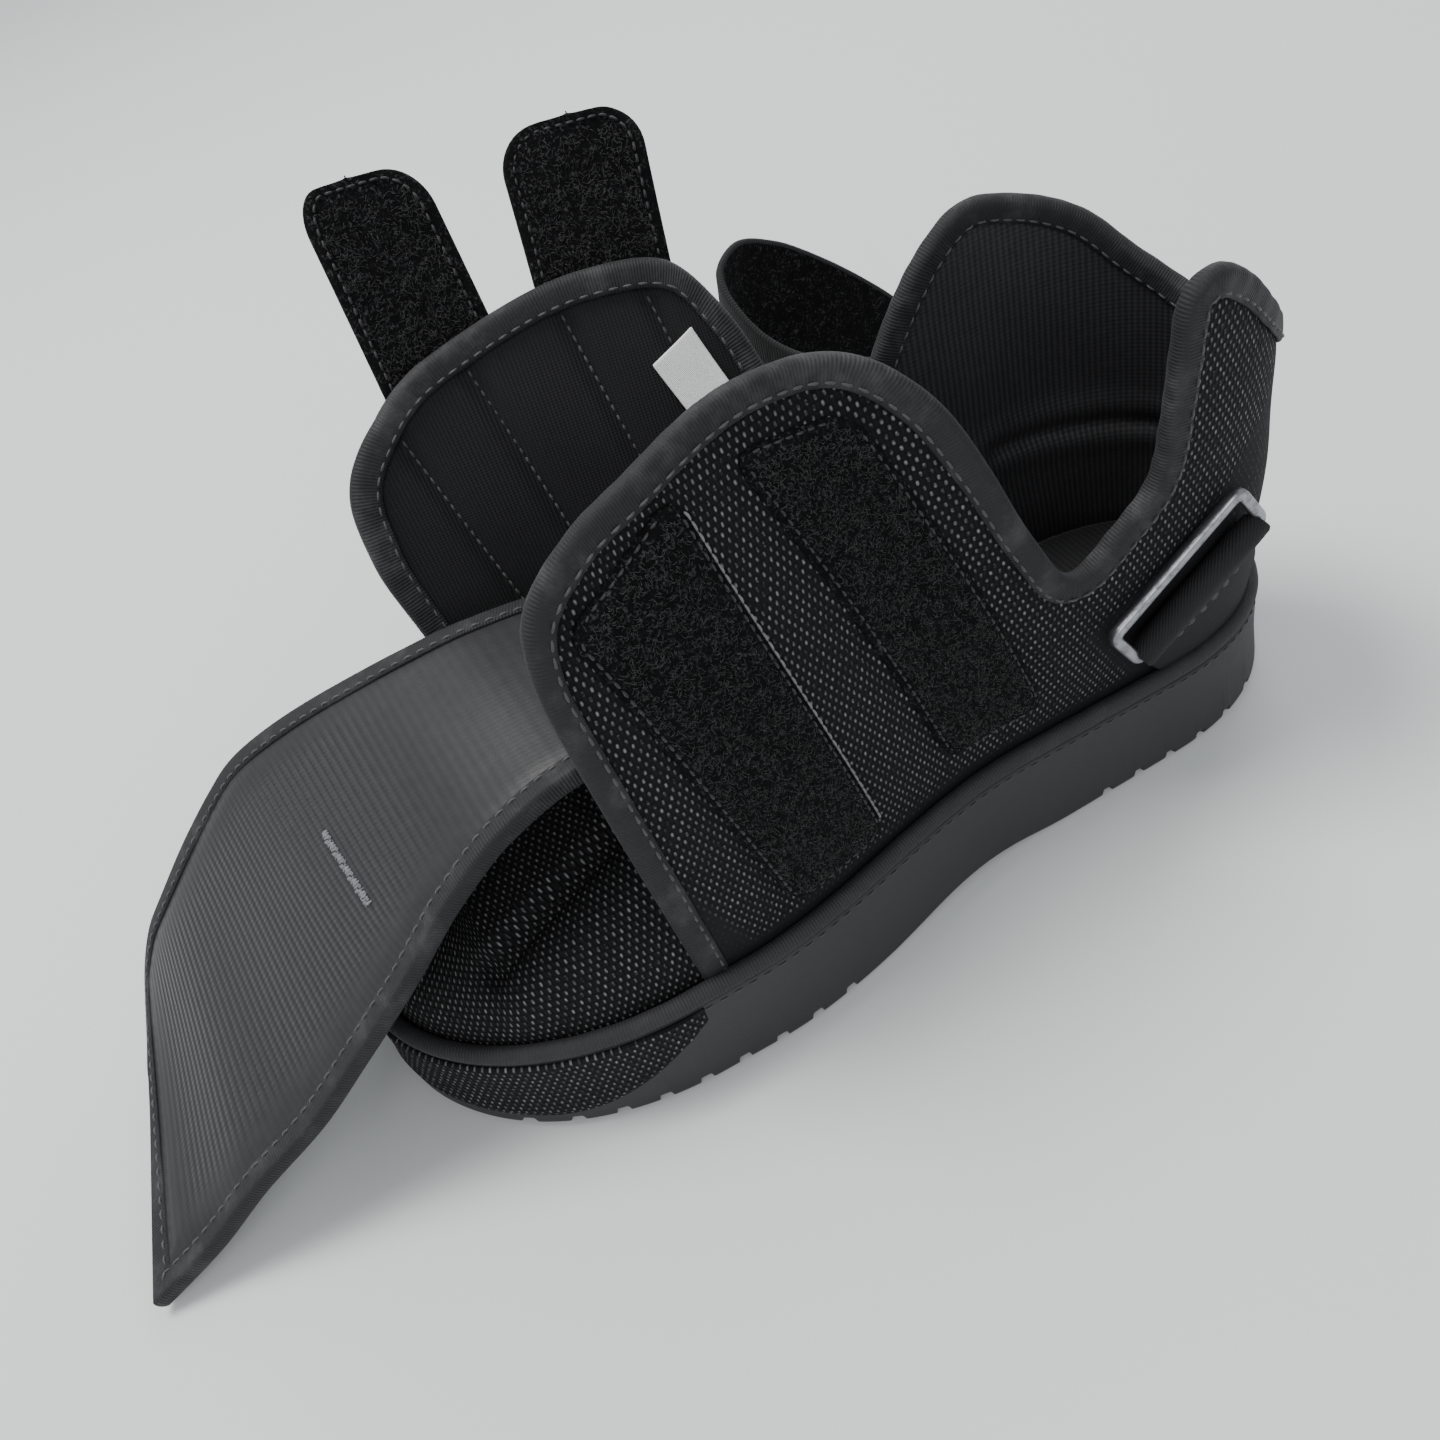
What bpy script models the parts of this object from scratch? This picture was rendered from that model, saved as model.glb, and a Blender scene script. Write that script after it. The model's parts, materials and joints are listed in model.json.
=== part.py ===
"""Post operative shoe: an open, closed-toe shoe with two strap flaps, modelled at its real size.

The shoe stands on its sole with its toe towards -Y and +Z up. The origin is the centre of the
heel's flat spot on the floor. +X is the side of the metal ring and the loop bands, the outer side
of a left foot. Lengths below are millimetres, and MM turns them into metres.

Two coordinates carry the upper and all that lies on it: girth, the distance along the sole's
outline from the back of the heel (positive on the ring's side, negative on the other), and height
above the floor. Stations are measured forward from the back of the heel, as shares of LENGTH.
"""
import math

import bmesh
import bpy
import numpy as np
from mathutils import Vector

MM = 0.001
GAP = 0.3

# Sole
LENGTH = 252.0
BALL_WIDTH = 97.0
HEEL_WIDTH = 71.0
WAIST_WIDTH = 71.0
TOE_SWING = 3.0
SOLE_HEIGHT = 25.0
WAIST_RISE = 2.5
TOE_SPRING = 3.0
ARCH_LIFT = 2.5
HEEL_BEVEL = 5.0
SOLE_FLARE = 1.0
EDGE_CHAMFER = 1.4
TREAD_PITCH = 10.0
TREAD_GROOVE = 3.0
TREAD_DEPTH = 1.8
HEEL_SEAT = 0.17
BALL_SEAT = 0.742
INSOLE_THICKNESS = 5.0
INSOLE_EASE = 2.5
PIPING_RADIUS = 2.1
PIPING_PROUD = 0.4

# Upper
UPPER_WALL = 3.0
WING_HEIGHT = 107.5
OUTER_FLAP_HEIGHT = 116.5
INNER_FLAP_HEIGHT = 106.0
OUTER_FLAP_LEAN = 24.0
INNER_FLAP_LEAN = 38.0
ANKLE_BULGE = 5.5
BACK_BULGE = 4.2
CAP_WALL = 2.5
CAP_STEP = 0.8
CAP_HEIGHT = 32.0
TOE_HEIGHT = 22.0
CAP_THROAT = 0.666
CAP_FAN = 0.88
BINDING_WIDTH = 4.5
BINDING_WALL = 1.1
BINDING_EASE = 0.5

# Tongue
TONGUE_WALL = 4.5
TONGUE_REACH = 161.0
TONGUE_CREST = 88.5
TONGUE_ROOT_WIDTH = 60.0
TONGUE_END_WIDTH = 87.0
TONGUE_CORNER = 18.0
TONGUE_EDGE = 26.0
TIP_CLEARANCE = 0.8

# Straps, bands, label
BAND_WIDTH = 27.0
BAND_WALL = 1.4
BAND_CORNER = 6.0
STRAP_WIDTH = 31.0
STRAP_WALL = 2.0
STRAP_CORNER = 9.0
STRAP_EASE = 1.4
LABEL_WIDTH = 13.0
LABEL_HEIGHT = 19.0
LABEL_WALL = 0.4

# Ring and its webbing
RING_LENGTH = 44.0
RING_DEPTH = 16.0
RING_WIRE = 3.0
RING_CORNER = 2.2
RING_CLEARANCE = 0.35
WEBBING_WALL = 1.6
WEBBING_SIDE_PLAY = 0.6
RING_LIFT = 1.5
RING_REST_GAP = 0.5
WEBBING_EASE = 0.7

# Each row is a line up the wall: the station of its foot, the station of its top, and the height of
# its top above the sole as a share of WING_HEIGHT or of the flap's height.
OUTER_WING = (
    # foot, top, height
    (0.000, 0.000, 0.620),
    (0.034, 0.034, 0.730),
    (0.079, 0.077, 0.840),
    (0.120, 0.120, 0.950),
    (0.150, 0.153, 1.000),
    (0.170, 0.176, 0.985),
    (0.182, 0.187, 0.880),
    (0.196, 0.195, 0.750),
    (0.216, 0.213, 0.590),
    (0.251, 0.251, 0.520),
    (0.297, 0.297, 0.445),
)
OUTER_FLAP = (
    (0.327, 0.329, 0.530),
    (0.352, 0.358, 0.715),
    (0.378, 0.385, 0.865),
    (0.413, 0.416, 0.950),
    (0.484, 0.484, 1.000),
    (0.605, 0.621, 0.975),
    (0.666, 0.691, 0.940),
    (0.707, 0.739, 0.860),
    (0.721, 0.752, 0.755),
)
INNER_WING = (
    (0.034, 0.034, 0.730),
    (0.077, 0.077, 0.845),
    (0.146, 0.146, 0.925),
    (0.190, 0.190, 0.948),
    (0.234, 0.236, 0.885),
    (0.282, 0.290, 0.700),
    (0.322, 0.325, 0.540),
)
INNER_FLAP = (
    (0.354, 0.354, 0.530),
    (0.388, 0.390, 0.660),
    (0.411, 0.417, 0.845),
    (0.443, 0.451, 0.955),
    (0.535, 0.535, 1.000),
    (0.636, 0.646, 0.970),
    (0.707, 0.732, 0.905),
    (0.747, 0.780, 0.800),
    (0.762, 0.794, 0.620),
)

# The tongue's two edges from its root at the cap's throat, over its fold and down to the floor:
# forward as a share of TONGUE_REACH, up as a share of the way from the floor clearance to the crest.
TONGUE_ROWS = (
    # ring side forward, ring side up, far side forward, far side up
    (0.000, 0.585, 0.000, 0.585),
    (-0.022, 0.766, -0.019, 0.766),
    (0.012, 0.928, 0.004, 0.905),
    (0.087, 1.000, 0.078, 0.970),
    (0.167, 1.000, 0.174, 0.982),
    (0.270, 0.942, 0.275, 0.948),
    (0.362, 0.829, 0.390, 0.880),
    (0.475, 0.633, 0.534, 0.754),
    (0.587, 0.459, 0.625, 0.635),
    (0.683, 0.321, 0.708, 0.501),
    (0.792, 0.213, 0.776, 0.375),
    (0.900, 0.081, 0.835, 0.260),
    (0.993, 0.000, 0.885, 0.150),
)

# The ankle strap from the heel's inner side, out and forward round its fold, and back to its free
# end. Distance from the shoe's middle as a share of HEEL_WIDTH, then the station and the height of
# the strap's upper and lower edge, the heights as shares of WING_HEIGHT above the floor. Where the
# distance is less than the upper's own, the strap lies on the upper.
ANKLE_STRAP_ROWS = (
    # distance, upper station, upper height, lower station, lower height
    (0.000, 0.065, 0.530, 0.180, 0.305),
    (0.000, 0.123, 0.694, 0.234, 0.457),
    (0.000, 0.186, 0.840, 0.282, 0.566),
    (0.470, 0.238, 0.895, 0.310, 0.584),
    (0.650, 0.302, 0.888, 0.332, 0.545),
    (0.845, 0.344, 0.900, 0.354, 0.550),
    (1.056, 0.367, 0.965, 0.371, 0.615),
    (1.240, 0.362, 1.030, 0.377, 0.680),
    (1.350, 0.322, 1.045, 0.360, 0.705),
    (1.400, 0.271, 0.985, 0.332, 0.660),
    (1.425, 0.211, 0.870, 0.292, 0.570),
    (1.450, 0.147, 0.712, 0.246, 0.450),
    (1.480, 0.084, 0.520, 0.196, 0.280),
)

# Each band or strap is a strip on the upper: the station and height above the sole of its lower and
# upper end, the heights as shares of the flap's height, and the rise of its upper end's edge towards
# the toe for each unit along the sole.
BANDS = {
    "loop_band_front": ((0.571, 0.085), (0.653, 0.885), -0.40),
    "loop_band_rear": ((0.381, 0.120), (0.480, 0.905), 0.22),
}
STRAPS = {
    "instep_strap_front": ((0.668, 0.400), (0.677, 1.320), 0.10),
    "instep_strap_rear": ((0.540, 0.400), (0.505, 1.290), 0.05),
}
LABEL = (0.466, 0.735)
LABEL_TILT = 22.0
RING_LOW = (0.246, 0.192)
RING_HIGH = (0.108, 0.408)

COLOURS = {
    # name: base colour, roughness, metallic
    "sole_rubber": ((0.050, 0.050, 0.053), 0.60, 0.0),
    "piping_cloth": ((0.040, 0.040, 0.043), 0.75, 0.0),
    "mesh_cloth": ((0.014, 0.014, 0.016), 0.85, 0.0),
    "binding_cloth": ((0.026, 0.026, 0.028), 0.80, 0.0),
    "lining_cloth": ((0.030, 0.030, 0.033), 0.70, 0.0),
    "insole_cloth": ((0.020, 0.020, 0.022), 0.90, 0.0),
    "loop_fastener": ((0.008, 0.008, 0.009), 0.95, 0.0),
    "webbing": ((0.025, 0.025, 0.027), 0.75, 0.0),
    "ring_metal": ((0.620, 0.620, 0.630), 0.30, 1.0),
    "label_cloth": ((0.780, 0.770, 0.760), 0.70, 0.0),
}


def smooth(share):
    """Ease from 0 to 1 with level ends."""
    share = np.clip(share, 0.0, 1.0)
    return share * share * (3.0 - 2.0 * share)


def half_width(station_mm):
    """Half the sole's width: heel, waist and ball joined smoothly, rounded off at heel and toe."""
    at = station_mm / LENGTH
    rear = HEEL_WIDTH + (WAIST_WIDTH - HEEL_WIDTH) * smooth((at - 0.20) / 0.16)
    fore = WAIST_WIDTH + (BALL_WIDTH - WAIST_WIDTH) * smooth((at - 0.36) / 0.33)
    body = np.where(at < 0.36, rear, fore) / 2
    heel = (1 - np.clip((0.188 - at) / 0.188, 0, 1) ** 2.2) ** (1 / 2.2)
    toe = np.sqrt(1 - np.clip((at - 0.745) / 0.255, 0, 1) ** 2)
    return body * heel * toe


def centre_line(station_mm):
    """The sole's middle, which swings to the inner side at the toe."""
    return -TOE_SWING * smooth((station_mm / LENGTH - 0.55) / 0.45)


def sole_top(station_mm):
    """Height of the sole's upper face, a little higher at the waist."""
    return SOLE_HEIGHT + WAIST_RISE * np.sin(np.pi * np.clip(station_mm / LENGTH, 0, 1)) ** 2


def sole_bottom(station_mm):
    """Height of the tread without its grooves: bevelled heel, arch and toe spring."""
    at = station_mm / LENGTH
    bevel = HEEL_BEVEL * np.clip((0.05 - at) / 0.05, 0, 1) ** 1.5
    arch = ARCH_LIFT * np.sin(np.pi * np.clip((at - 0.31) / 0.25, 0, 1)) ** 2
    spring = TOE_SPRING * np.clip((at - 0.86) / 0.14, 0, 1) ** 2
    return bevel + arch + spring


def outline_table():
    """Sample the sole's outline from the toe round the inner side, the heel and the outer side."""
    way = np.linspace(-1.0, 1.0, 4001)
    station = LENGTH * (1 - np.cos(np.pi * np.abs(way))) / 2
    across = centre_line(station) + np.sign(way) * half_width(station)
    points = np.stack([across, station], axis=1)
    steps = np.linalg.norm(np.diff(points, axis=0), axis=1)
    girth = np.concatenate([[0.0], np.cumsum(steps)])
    girth -= girth[len(way) // 2]
    tangent = np.gradient(points, girth, axis=0)
    normal = np.stack([tangent[:, 1], -tangent[:, 0]], axis=1)
    normal /= np.linalg.norm(normal, axis=1, keepdims=True)
    return girth, points, normal


GIRTH, OUTLINE, OUTLINE_NORMAL = outline_table()
HALF = len(GIRTH) // 2


def girth_of(station_share, side):
    """Girth of a station on the ring's side (side 1) or on the other side (side -1)."""
    stations = OUTLINE[:, 1] / LENGTH
    if side > 0:
        return np.interp(station_share, stations[HALF:], GIRTH[HALF:])
    return np.interp(station_share, stations[HALF::-1], GIRTH[HALF::-1])


def edge_point(girth, inset):
    """Across and station of the sole's outline, moved inwards by inset."""
    across, station = (np.interp(girth, GIRTH, OUTLINE[:, k]) for k in (0, 1))
    inward_x, inward_s = (-np.interp(girth, GIRTH, OUTLINE_NORMAL[:, k]) for k in (0, 1))
    return across + inset * inward_x, station + inset * inward_s


UPPER_INSET = 2 * PIPING_RADIUS - PIPING_PROUD + GAP


def wall_swell(girth, height):
    """How far the upper stands out from its foot: the ankle's padding, and the lean of each flap."""
    _, station = edge_point(girth, 0.0)
    above = height - sole_top(station)
    at = station / LENGTH
    flap = smooth((at - 0.24) / 0.22)
    padding = BACK_BULGE + (ANKLE_BULGE - BACK_BULGE) * smooth(at / 0.16)
    padding = padding * np.sin(np.pi / 2 * np.clip((above - 6) / 45, 0, 1))
    rise = np.clip(above - 10, 0, None)
    outer = -OUTER_FLAP_LEAN * (rise / OUTER_FLAP_HEIGHT) ** 1.8
    inner = INNER_FLAP_LEAN * (rise / INNER_FLAP_HEIGHT) ** 1.3
    return padding * (1 - flap) + np.where(girth > 0, outer, inner) * flap


def to_world(across, station, height):
    """Stack the three coordinates with the origin at the heel's seat and the toe towards -Y."""
    across, station, height = np.broadcast_arrays(across, station, height)
    return np.stack([across, HEEL_SEAT * LENGTH - station, height], axis=-1)


def wall_face(girth, height):
    """A point on the upper's outer face."""
    across, station = edge_point(girth, UPPER_INSET)
    swell = wall_swell(girth, height)
    normal_x = np.interp(girth, GIRTH, OUTLINE_NORMAL[:, 0])
    normal_s = np.interp(girth, GIRTH, OUTLINE_NORMAL[:, 1])
    return to_world(across + normal_x * swell, station + normal_s * swell, height)


def wall_normal(girth, height):
    """The outer face's unit normal, from its slopes along and up the wall."""
    step = 1.0
    along = wall_face(girth + step, height) - wall_face(girth - step, height)
    upward = wall_face(girth, height + step) - wall_face(girth, height - step)
    normal = np.cross(upward, along)
    return normal / np.linalg.norm(normal, axis=-1, keepdims=True)


def wall_point(girth, height, out=0.0):
    """A point at a distance out from the upper's outer face, negative inside its wall."""
    girth, height = np.broadcast_arrays(np.asarray(girth, float), np.asarray(height, float))
    out = np.broadcast_to(np.asarray(out, float), girth.shape)
    return wall_face(girth, height) + out[..., None] * wall_normal(girth, height)


def wall_top(station_share, side, share, flap_height):
    """Height above the floor of a share of a flap's height at a station."""
    return sole_top(station_share * LENGTH) + share * flap_height


def curve_through(rows, count, measure):
    """Read a smooth curve through the rows at count points, evenly spaced in the columns of measure."""
    rows = np.asarray(rows, float)
    chord = np.linalg.norm(np.diff(rows[:, measure], axis=0), axis=1)
    knots = np.concatenate([[0.0], np.cumsum(chord)])
    slope = np.diff(rows, axis=0) / chord[:, None]
    tangent = np.empty_like(rows)
    tangent[0], tangent[-1] = slope[0], slope[-1]
    before, after = chord[:-1, None], chord[1:, None]
    tangent[1:-1] = (slope[:-1] * after + slope[1:] * before) / (before + after)

    def read(where):
        k = np.clip(np.searchsorted(knots, where, side="right") - 1, 0, len(chord) - 1)
        step = chord[k][:, None]
        t = ((where - knots[k]) / chord[k])[:, None]
        return (rows[k] * (1 + 2 * t) * (1 - t) ** 2 + tangent[k] * step * t * (1 - t) ** 2
                + rows[k + 1] * t * t * (3 - 2 * t) - tangent[k + 1] * step * t * t * (1 - t))

    fine = read(np.linspace(0.0, knots[-1], 1200))
    run = np.linalg.norm(np.diff(fine[:, measure], axis=0), axis=1)
    run = np.concatenate([[0.0], np.cumsum(run)])
    wanted = np.linspace(0.0, run[-1], count)
    return read(np.interp(wanted, run, np.linspace(0.0, knots[-1], 1200)))


def wall_lines(count):
    """Foot girth, top girth and top height of evenly spaced lines up the wall, ring side first."""
    rows = []
    for side, wing, flap, flap_height in (
        (1, OUTER_WING, OUTER_FLAP, OUTER_FLAP_HEIGHT),
        (-1, INNER_WING, INNER_FLAP, INNER_FLAP_HEIGHT),
    ):
        one_side = []
        for table, full in ((wing, WING_HEIGHT), (flap, flap_height)):
            for foot, top, height in table:
                rise = sole_top(top * LENGTH) + height * full
                one_side.append((girth_of(foot, side), girth_of(top, side), rise))
        rows += one_side[::-1] if side > 0 else one_side
    return curve_through(rows, count, (1, 2))


def wall_coordinates(lines, up):
    """Girth and height of the points at the shares up of each wall line."""
    foot, top, rise = (lines[:, k][:, None] for k in range(3))
    up = np.asarray(up)[None, :]
    girth = foot + (top - foot) * up
    _, station = edge_point(girth, 0.0)
    floor = sole_top(station) + GAP
    return girth, floor + (rise - floor) * up


def material(name):
    colour, roughness, metallic = COLOURS[name]
    made = bpy.data.materials.get(name) or bpy.data.materials.new(name)
    made.use_nodes = True
    shader = made.node_tree.nodes["Principled BSDF"]
    shader.inputs["Base Color"].default_value = (*colour, 1.0)
    shader.inputs["Roughness"].default_value = roughness
    shader.inputs["Metallic"].default_value = metallic
    made.diffuse_color = (*colour, 1.0)
    return made


def new_object(name, mesh, material_name, collection):
    mesh.materials.append(material(material_name))
    made = bpy.data.objects.new(name, mesh)
    collection.objects.link(made)
    return made


def grid_mesh(name, points, flip=False, weld=False):
    """An open surface of four-sided faces through a grid of points in millimetres."""
    rows, columns = points.shape[:2]
    mesh = bpy.data.meshes.new(name)
    shape = bmesh.new()
    corners = [shape.verts.new(Vector(p) * MM) for p in points.reshape(-1, 3).tolist()]
    for i in range(rows - 1):
        for j in range(columns - 1):
            first = i * columns + j
            loop = [first, first + columns, first + columns + 1, first + 1]
            loop = loop[::-1] if flip else loop
            shape.faces.new([corners[k] for k in loop])
    if weld:
        bmesh.ops.remove_doubles(shape, verts=shape.verts[:], dist=0.00001)
    shape.to_mesh(mesh)
    shape.free()
    return mesh


def sheet(name, points, wall, outwards, material_name, collection, flip=False, weld=False):
    """A sheet of even thickness, grown to the back of its surface or, with outwards, to its front."""
    made = new_object(name, grid_mesh(name, points, flip, weld), material_name, collection)
    made.data.shade_smooth()
    solid = made.modifiers.new("wall", "SOLIDIFY")
    solid.thickness = wall * MM
    solid.offset = 1.0 if outwards else -1.0
    solid.use_even_offset = True
    return made


def shell(name, front, back, material_name, collection):
    """A closed wall between two grids of points of the same shape, front face and back face."""
    rows, columns = front.shape[:2]
    index = np.arange(rows * columns).reshape(rows, columns)
    quads = np.stack([index[:-1, :-1], index[1:, :-1], index[1:, 1:], index[:-1, 1:]], axis=-1).reshape(-1, 4)
    rim = np.concatenate([index[:-1, 0], index[-1, :-1], index[:0:-1, -1], index[0, :0:-1]])
    after = np.roll(rim, -1)
    back_shift = rows * columns
    sides = np.stack([after, rim, rim + back_shift, after + back_shift], axis=-1)
    faces = np.concatenate([quads, quads[:, ::-1] + back_shift, sides])
    corners = np.concatenate([front.reshape(-1, 3), back.reshape(-1, 3)]) * MM
    mesh = bpy.data.meshes.new(name)
    mesh.from_pydata(corners.tolist(), [], faces.tolist())
    mesh.shade_smooth()
    return new_object(name, mesh, material_name, collection)


def loft(name, sections, material_name, collection):
    """A closed solid through sections, each a ring of points in millimetres."""
    count = sections.shape[1]
    mesh = bpy.data.meshes.new(name)
    shape = bmesh.new()
    rings = [[shape.verts.new(Vector(p) * MM) for p in ring] for ring in sections.tolist()]
    for near, far in zip(rings, rings[1:]):
        for k in range(count):
            shape.faces.new((near[k], near[(k + 1) % count], far[(k + 1) % count], far[k]))
    shape.faces.new(rings[0][::-1])
    shape.faces.new(rings[-1])
    bmesh.ops.recalc_face_normals(shape, faces=shape.faces[:])
    shape.to_mesh(mesh)
    shape.free()
    return new_object(name, mesh, material_name, collection)


def wire(name, points, radius, resolution, closed, material_name, collection):
    """A round wire or roll along points in millimetres."""
    curve = bpy.data.curves.new(name, "CURVE")
    curve.dimensions = "3D"
    curve.bevel_depth = radius * MM
    curve.bevel_resolution = resolution
    curve.use_fill_caps = True
    spline = curve.splines.new("POLY")
    spline.points.add(len(points) - 1)
    spline.points.foreach_set("co", np.c_[np.asarray(points) * MM, np.ones(len(points))].ravel())
    spline.use_cyclic_u = closed
    return new_object(name, curve, material_name, collection)


def across_sections(stations, inset, levels):
    """Sections of the sole's plan: each level gives its own extra inset and height at each station."""
    sections = []
    for station in stations:
        ring = []
        for side in (1, -1):
            girth = girth_of(station / LENGTH, side)
            points = [to_world(*edge_point(girth, inset + more), height) for more, height in levels(station)]
            ring += points if side > 0 else points[::-1]
        sections.append(ring)
    return np.array(sections)


def tread_grooves():
    """Stations of the grooves, half a pitch off the centre of the heel's and the ball's seat."""
    grooves = []
    for seat, low, high in ((HEEL_SEAT, 0.045, 0.30), (BALL_SEAT, 0.57, 0.955)):
        reach = int(LENGTH / TREAD_PITCH)
        places = [seat * LENGTH + (k + 0.5) * TREAD_PITCH for k in range(-reach, reach)]
        grooves += [place for place in places if low * LENGTH < place < high * LENGTH]
    return grooves


def sole(collection):
    """One moulded sole with its outline, arch, toe spring, bevelled heel and cross grooves."""
    grooves = np.array(tread_grooves())
    half, draft = TREAD_GROOVE / 2, TREAD_GROOVE / 8
    marks = [grooves + offset for offset in (-half, draft - half, half - draft, half)]
    plain = LENGTH * (1 - np.cos(np.linspace(0.014, 0.986, 40) * np.pi)) / 2
    clear = np.min(np.abs(plain[:, None] - grooves[None, :]), axis=1) > half + draft
    stations = np.sort(np.concatenate([plain[clear], *marks]))

    def levels(station):
        groove = np.min(np.abs(grooves - station)) < half - draft / 2
        low = sole_bottom(station) + (TREAD_DEPTH if groove else 0.0)
        top = sole_top(station)
        return ((EDGE_CHAMFER - SOLE_FLARE, low), (-SOLE_FLARE, low + EDGE_CHAMFER),
                (0.0, top - EDGE_CHAMFER), (EDGE_CHAMFER / 2, top))

    return loft("sole", across_sections(stations, 0.0, levels), "sole_rubber", collection)


def insole(collection):
    """The footbed inside the upper's foot, with a softened upper edge."""
    inset = UPPER_INSET + CAP_STEP + CAP_WALL + INSOLE_EASE
    turn = np.linspace(0.02, 0.98, 26) * np.pi
    stations = LENGTH * (1 - np.cos(turn)) / 2

    def levels(station):
        low = sole_top(station) + GAP
        return ((0.0, low), (0.0, low + 0.7 * INSOLE_THICKNESS), (0.3 * INSOLE_THICKNESS, low + INSOLE_THICKNESS))

    return loft("insole", across_sections(stations, inset, levels), "insole_cloth", collection)


def piping(collection):
    """The cloth roll laid round the top of the sole, against the upper's foot."""
    girth = np.linspace(GIRTH[0], GIRTH[-1], 66, endpoint=False)
    across, station = edge_point(girth, PIPING_RADIUS - PIPING_PROUD)
    height = sole_top(station) + GAP + PIPING_RADIUS
    return wire("piping", to_world(across, station, height), PIPING_RADIUS, 2, True, "piping_cloth", collection)


def toe_cap(columns, rows):
    """The toe cap's outer face: rings that shrink from the outline to the ridge over the toes."""
    way = np.linspace(np.arccos(1 - 2 * CAP_THROAT) / np.pi, 1.0, columns // 2 + 1)
    share = (1 - np.cos(np.pi * way)) / 2
    share = np.concatenate([share, share[-2::-1]])
    side = np.concatenate([np.ones(columns // 2 + 1), -np.ones(columns // 2)])
    girth = np.array([girth_of(s, k) for s, k in zip(share, side)])
    step = CAP_STEP * (1 - smooth((share - 0.75) / 0.10))
    base_x, base_s = edge_point(girth, UPPER_INSET + step)
    ridge = np.minimum(share, CAP_FAN)
    ridge_x, ridge_s = centre_line(ridge * LENGTH), ridge * LENGTH
    crown = CAP_HEIGHT + (TOE_HEIGHT - CAP_HEIGHT) * (ridge - CAP_THROAT) / (CAP_FAN - CAP_THROAT)
    angle = np.linspace(0.0, np.pi / 2, rows)
    reach = np.cos(angle) ** (2 / 2.3)
    reach[-1] = 0.0
    climb = np.sin(angle) ** (2 / 2.3)
    across = ridge_x[:, None] + (base_x - ridge_x)[:, None] * reach
    station = ridge_s[:, None] + (base_s - ridge_s)[:, None] * reach
    height = sole_top(station) + 2 * GAP + crown[:, None] * climb
    return to_world(across, station, height)


def upper(collection, forms):
    """One hollow wall: heel, wings and flaps from the wall lines, joined to the toe cap."""
    lines = wall_lines(84)
    up = np.array([0.0, 0.08, 0.17, 0.28, 0.41, 0.55, 0.70, 0.85, 1.0])
    girth, height = wall_coordinates(lines, up)
    faces = (wall_point(girth, height, out) for out in (0.0, -UPPER_WALL))
    made = shell("upper", *faces, "mesh_cloth", collection)
    cap = sheet("toe_cap_form", toe_cap(26, 8), CAP_WALL, False, "mesh_cloth", forms, flip=True, weld=True)
    join = made.modifiers.new("toe cap", "BOOLEAN")
    join.operation = "UNION"
    join.solver = "EXACT"
    join.object = cap
    return made


def binding(collection):
    """A folded tape over the flaps' front edges and along the whole top line."""
    lines = wall_lines(84)
    side_up = np.linspace(0.46, 0.91, 6)
    first = [part[0] for part in wall_coordinates(lines[:1], side_up)]
    last = [part[0] for part in wall_coordinates(lines[-1:], side_up[::-1])]
    top = [part[:, 0] for part in wall_coordinates(lines, [1.0])]
    girth, height = (np.concatenate([a, b, c]) for a, b, c in zip(first, top, last))
    path = np.stack([girth, height], axis=1)
    steps = np.diff(path, axis=0)
    steps /= np.linalg.norm(steps, axis=1, keepdims=True)
    before, after = np.vstack([steps[:1], steps]), np.vstack([steps, steps[-1:]])
    along = (before + after) / np.linalg.norm(before + after, axis=1, keepdims=True)
    mitre = 1 / (along * before).sum(axis=1, keepdims=True)
    past = np.stack([along[:, 1], -along[:, 0]], axis=1) * mitre
    past = past if past[len(past) // 2, 1] > 0 else -past
    face, back = BINDING_EASE, -UPPER_WALL - BINDING_EASE
    profile = (
        # out, past the edge
        (face, -BINDING_WIDTH), (face + BINDING_WALL, -BINDING_WIDTH),
        (face + BINDING_WALL, GAP + BINDING_WALL), (back - BINDING_WALL, GAP + BINDING_WALL),
        (back - BINDING_WALL, -BINDING_WIDTH), (back, -BINDING_WIDTH),
        (back, -BINDING_WIDTH / 2), (back, GAP), (face, GAP), (face, -BINDING_WIDTH / 2),
    )
    sections = []
    for out, beyond in profile:
        place = path + beyond * past
        sections.append(wall_point(place[:, 0], place[:, 1], out))
    return loft("binding", np.stack(sections, axis=1), "binding_cloth", collection)


def strip_on_wall(side, strip, width, corner, flap_height):
    """Girth and height over a strip with level sides and round corners, up from its lower end."""
    foot, tip, tip_rise = strip
    start, end = (
        np.array([girth_of(station, side), sole_top(station * LENGTH) + share * flap_height])
        for station, share in (foot, tip)
    )
    run = np.linalg.norm(end - start)
    rounding = corner * (1 - np.cos(np.linspace(0.0, np.pi / 2, 4)))
    middle = np.linspace(corner, run - corner, 9)[1:-1]
    distance = np.concatenate([rounding, middle, run - rounding[::-1]])
    left = np.clip(corner - np.minimum(distance, run - distance), 0, None)
    inset = corner - np.sqrt(corner ** 2 - left ** 2)
    share = distance / run
    middle = start + (end - start) * share[:, None]
    step = wall_face(middle[:, 0] + 0.5, middle[:, 1]) - wall_face(middle[:, 0] - 0.5, middle[:, 1])
    offset = np.linspace(1.0, -1.0, 5)[:, None] * (width / 2 - inset) / np.linalg.norm(step, axis=1)
    girth = start[0] + (end - start)[0] * share + offset
    height = start[1] + (end - start)[1] * share + tip_rise * side * offset * share
    return girth, height


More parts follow.
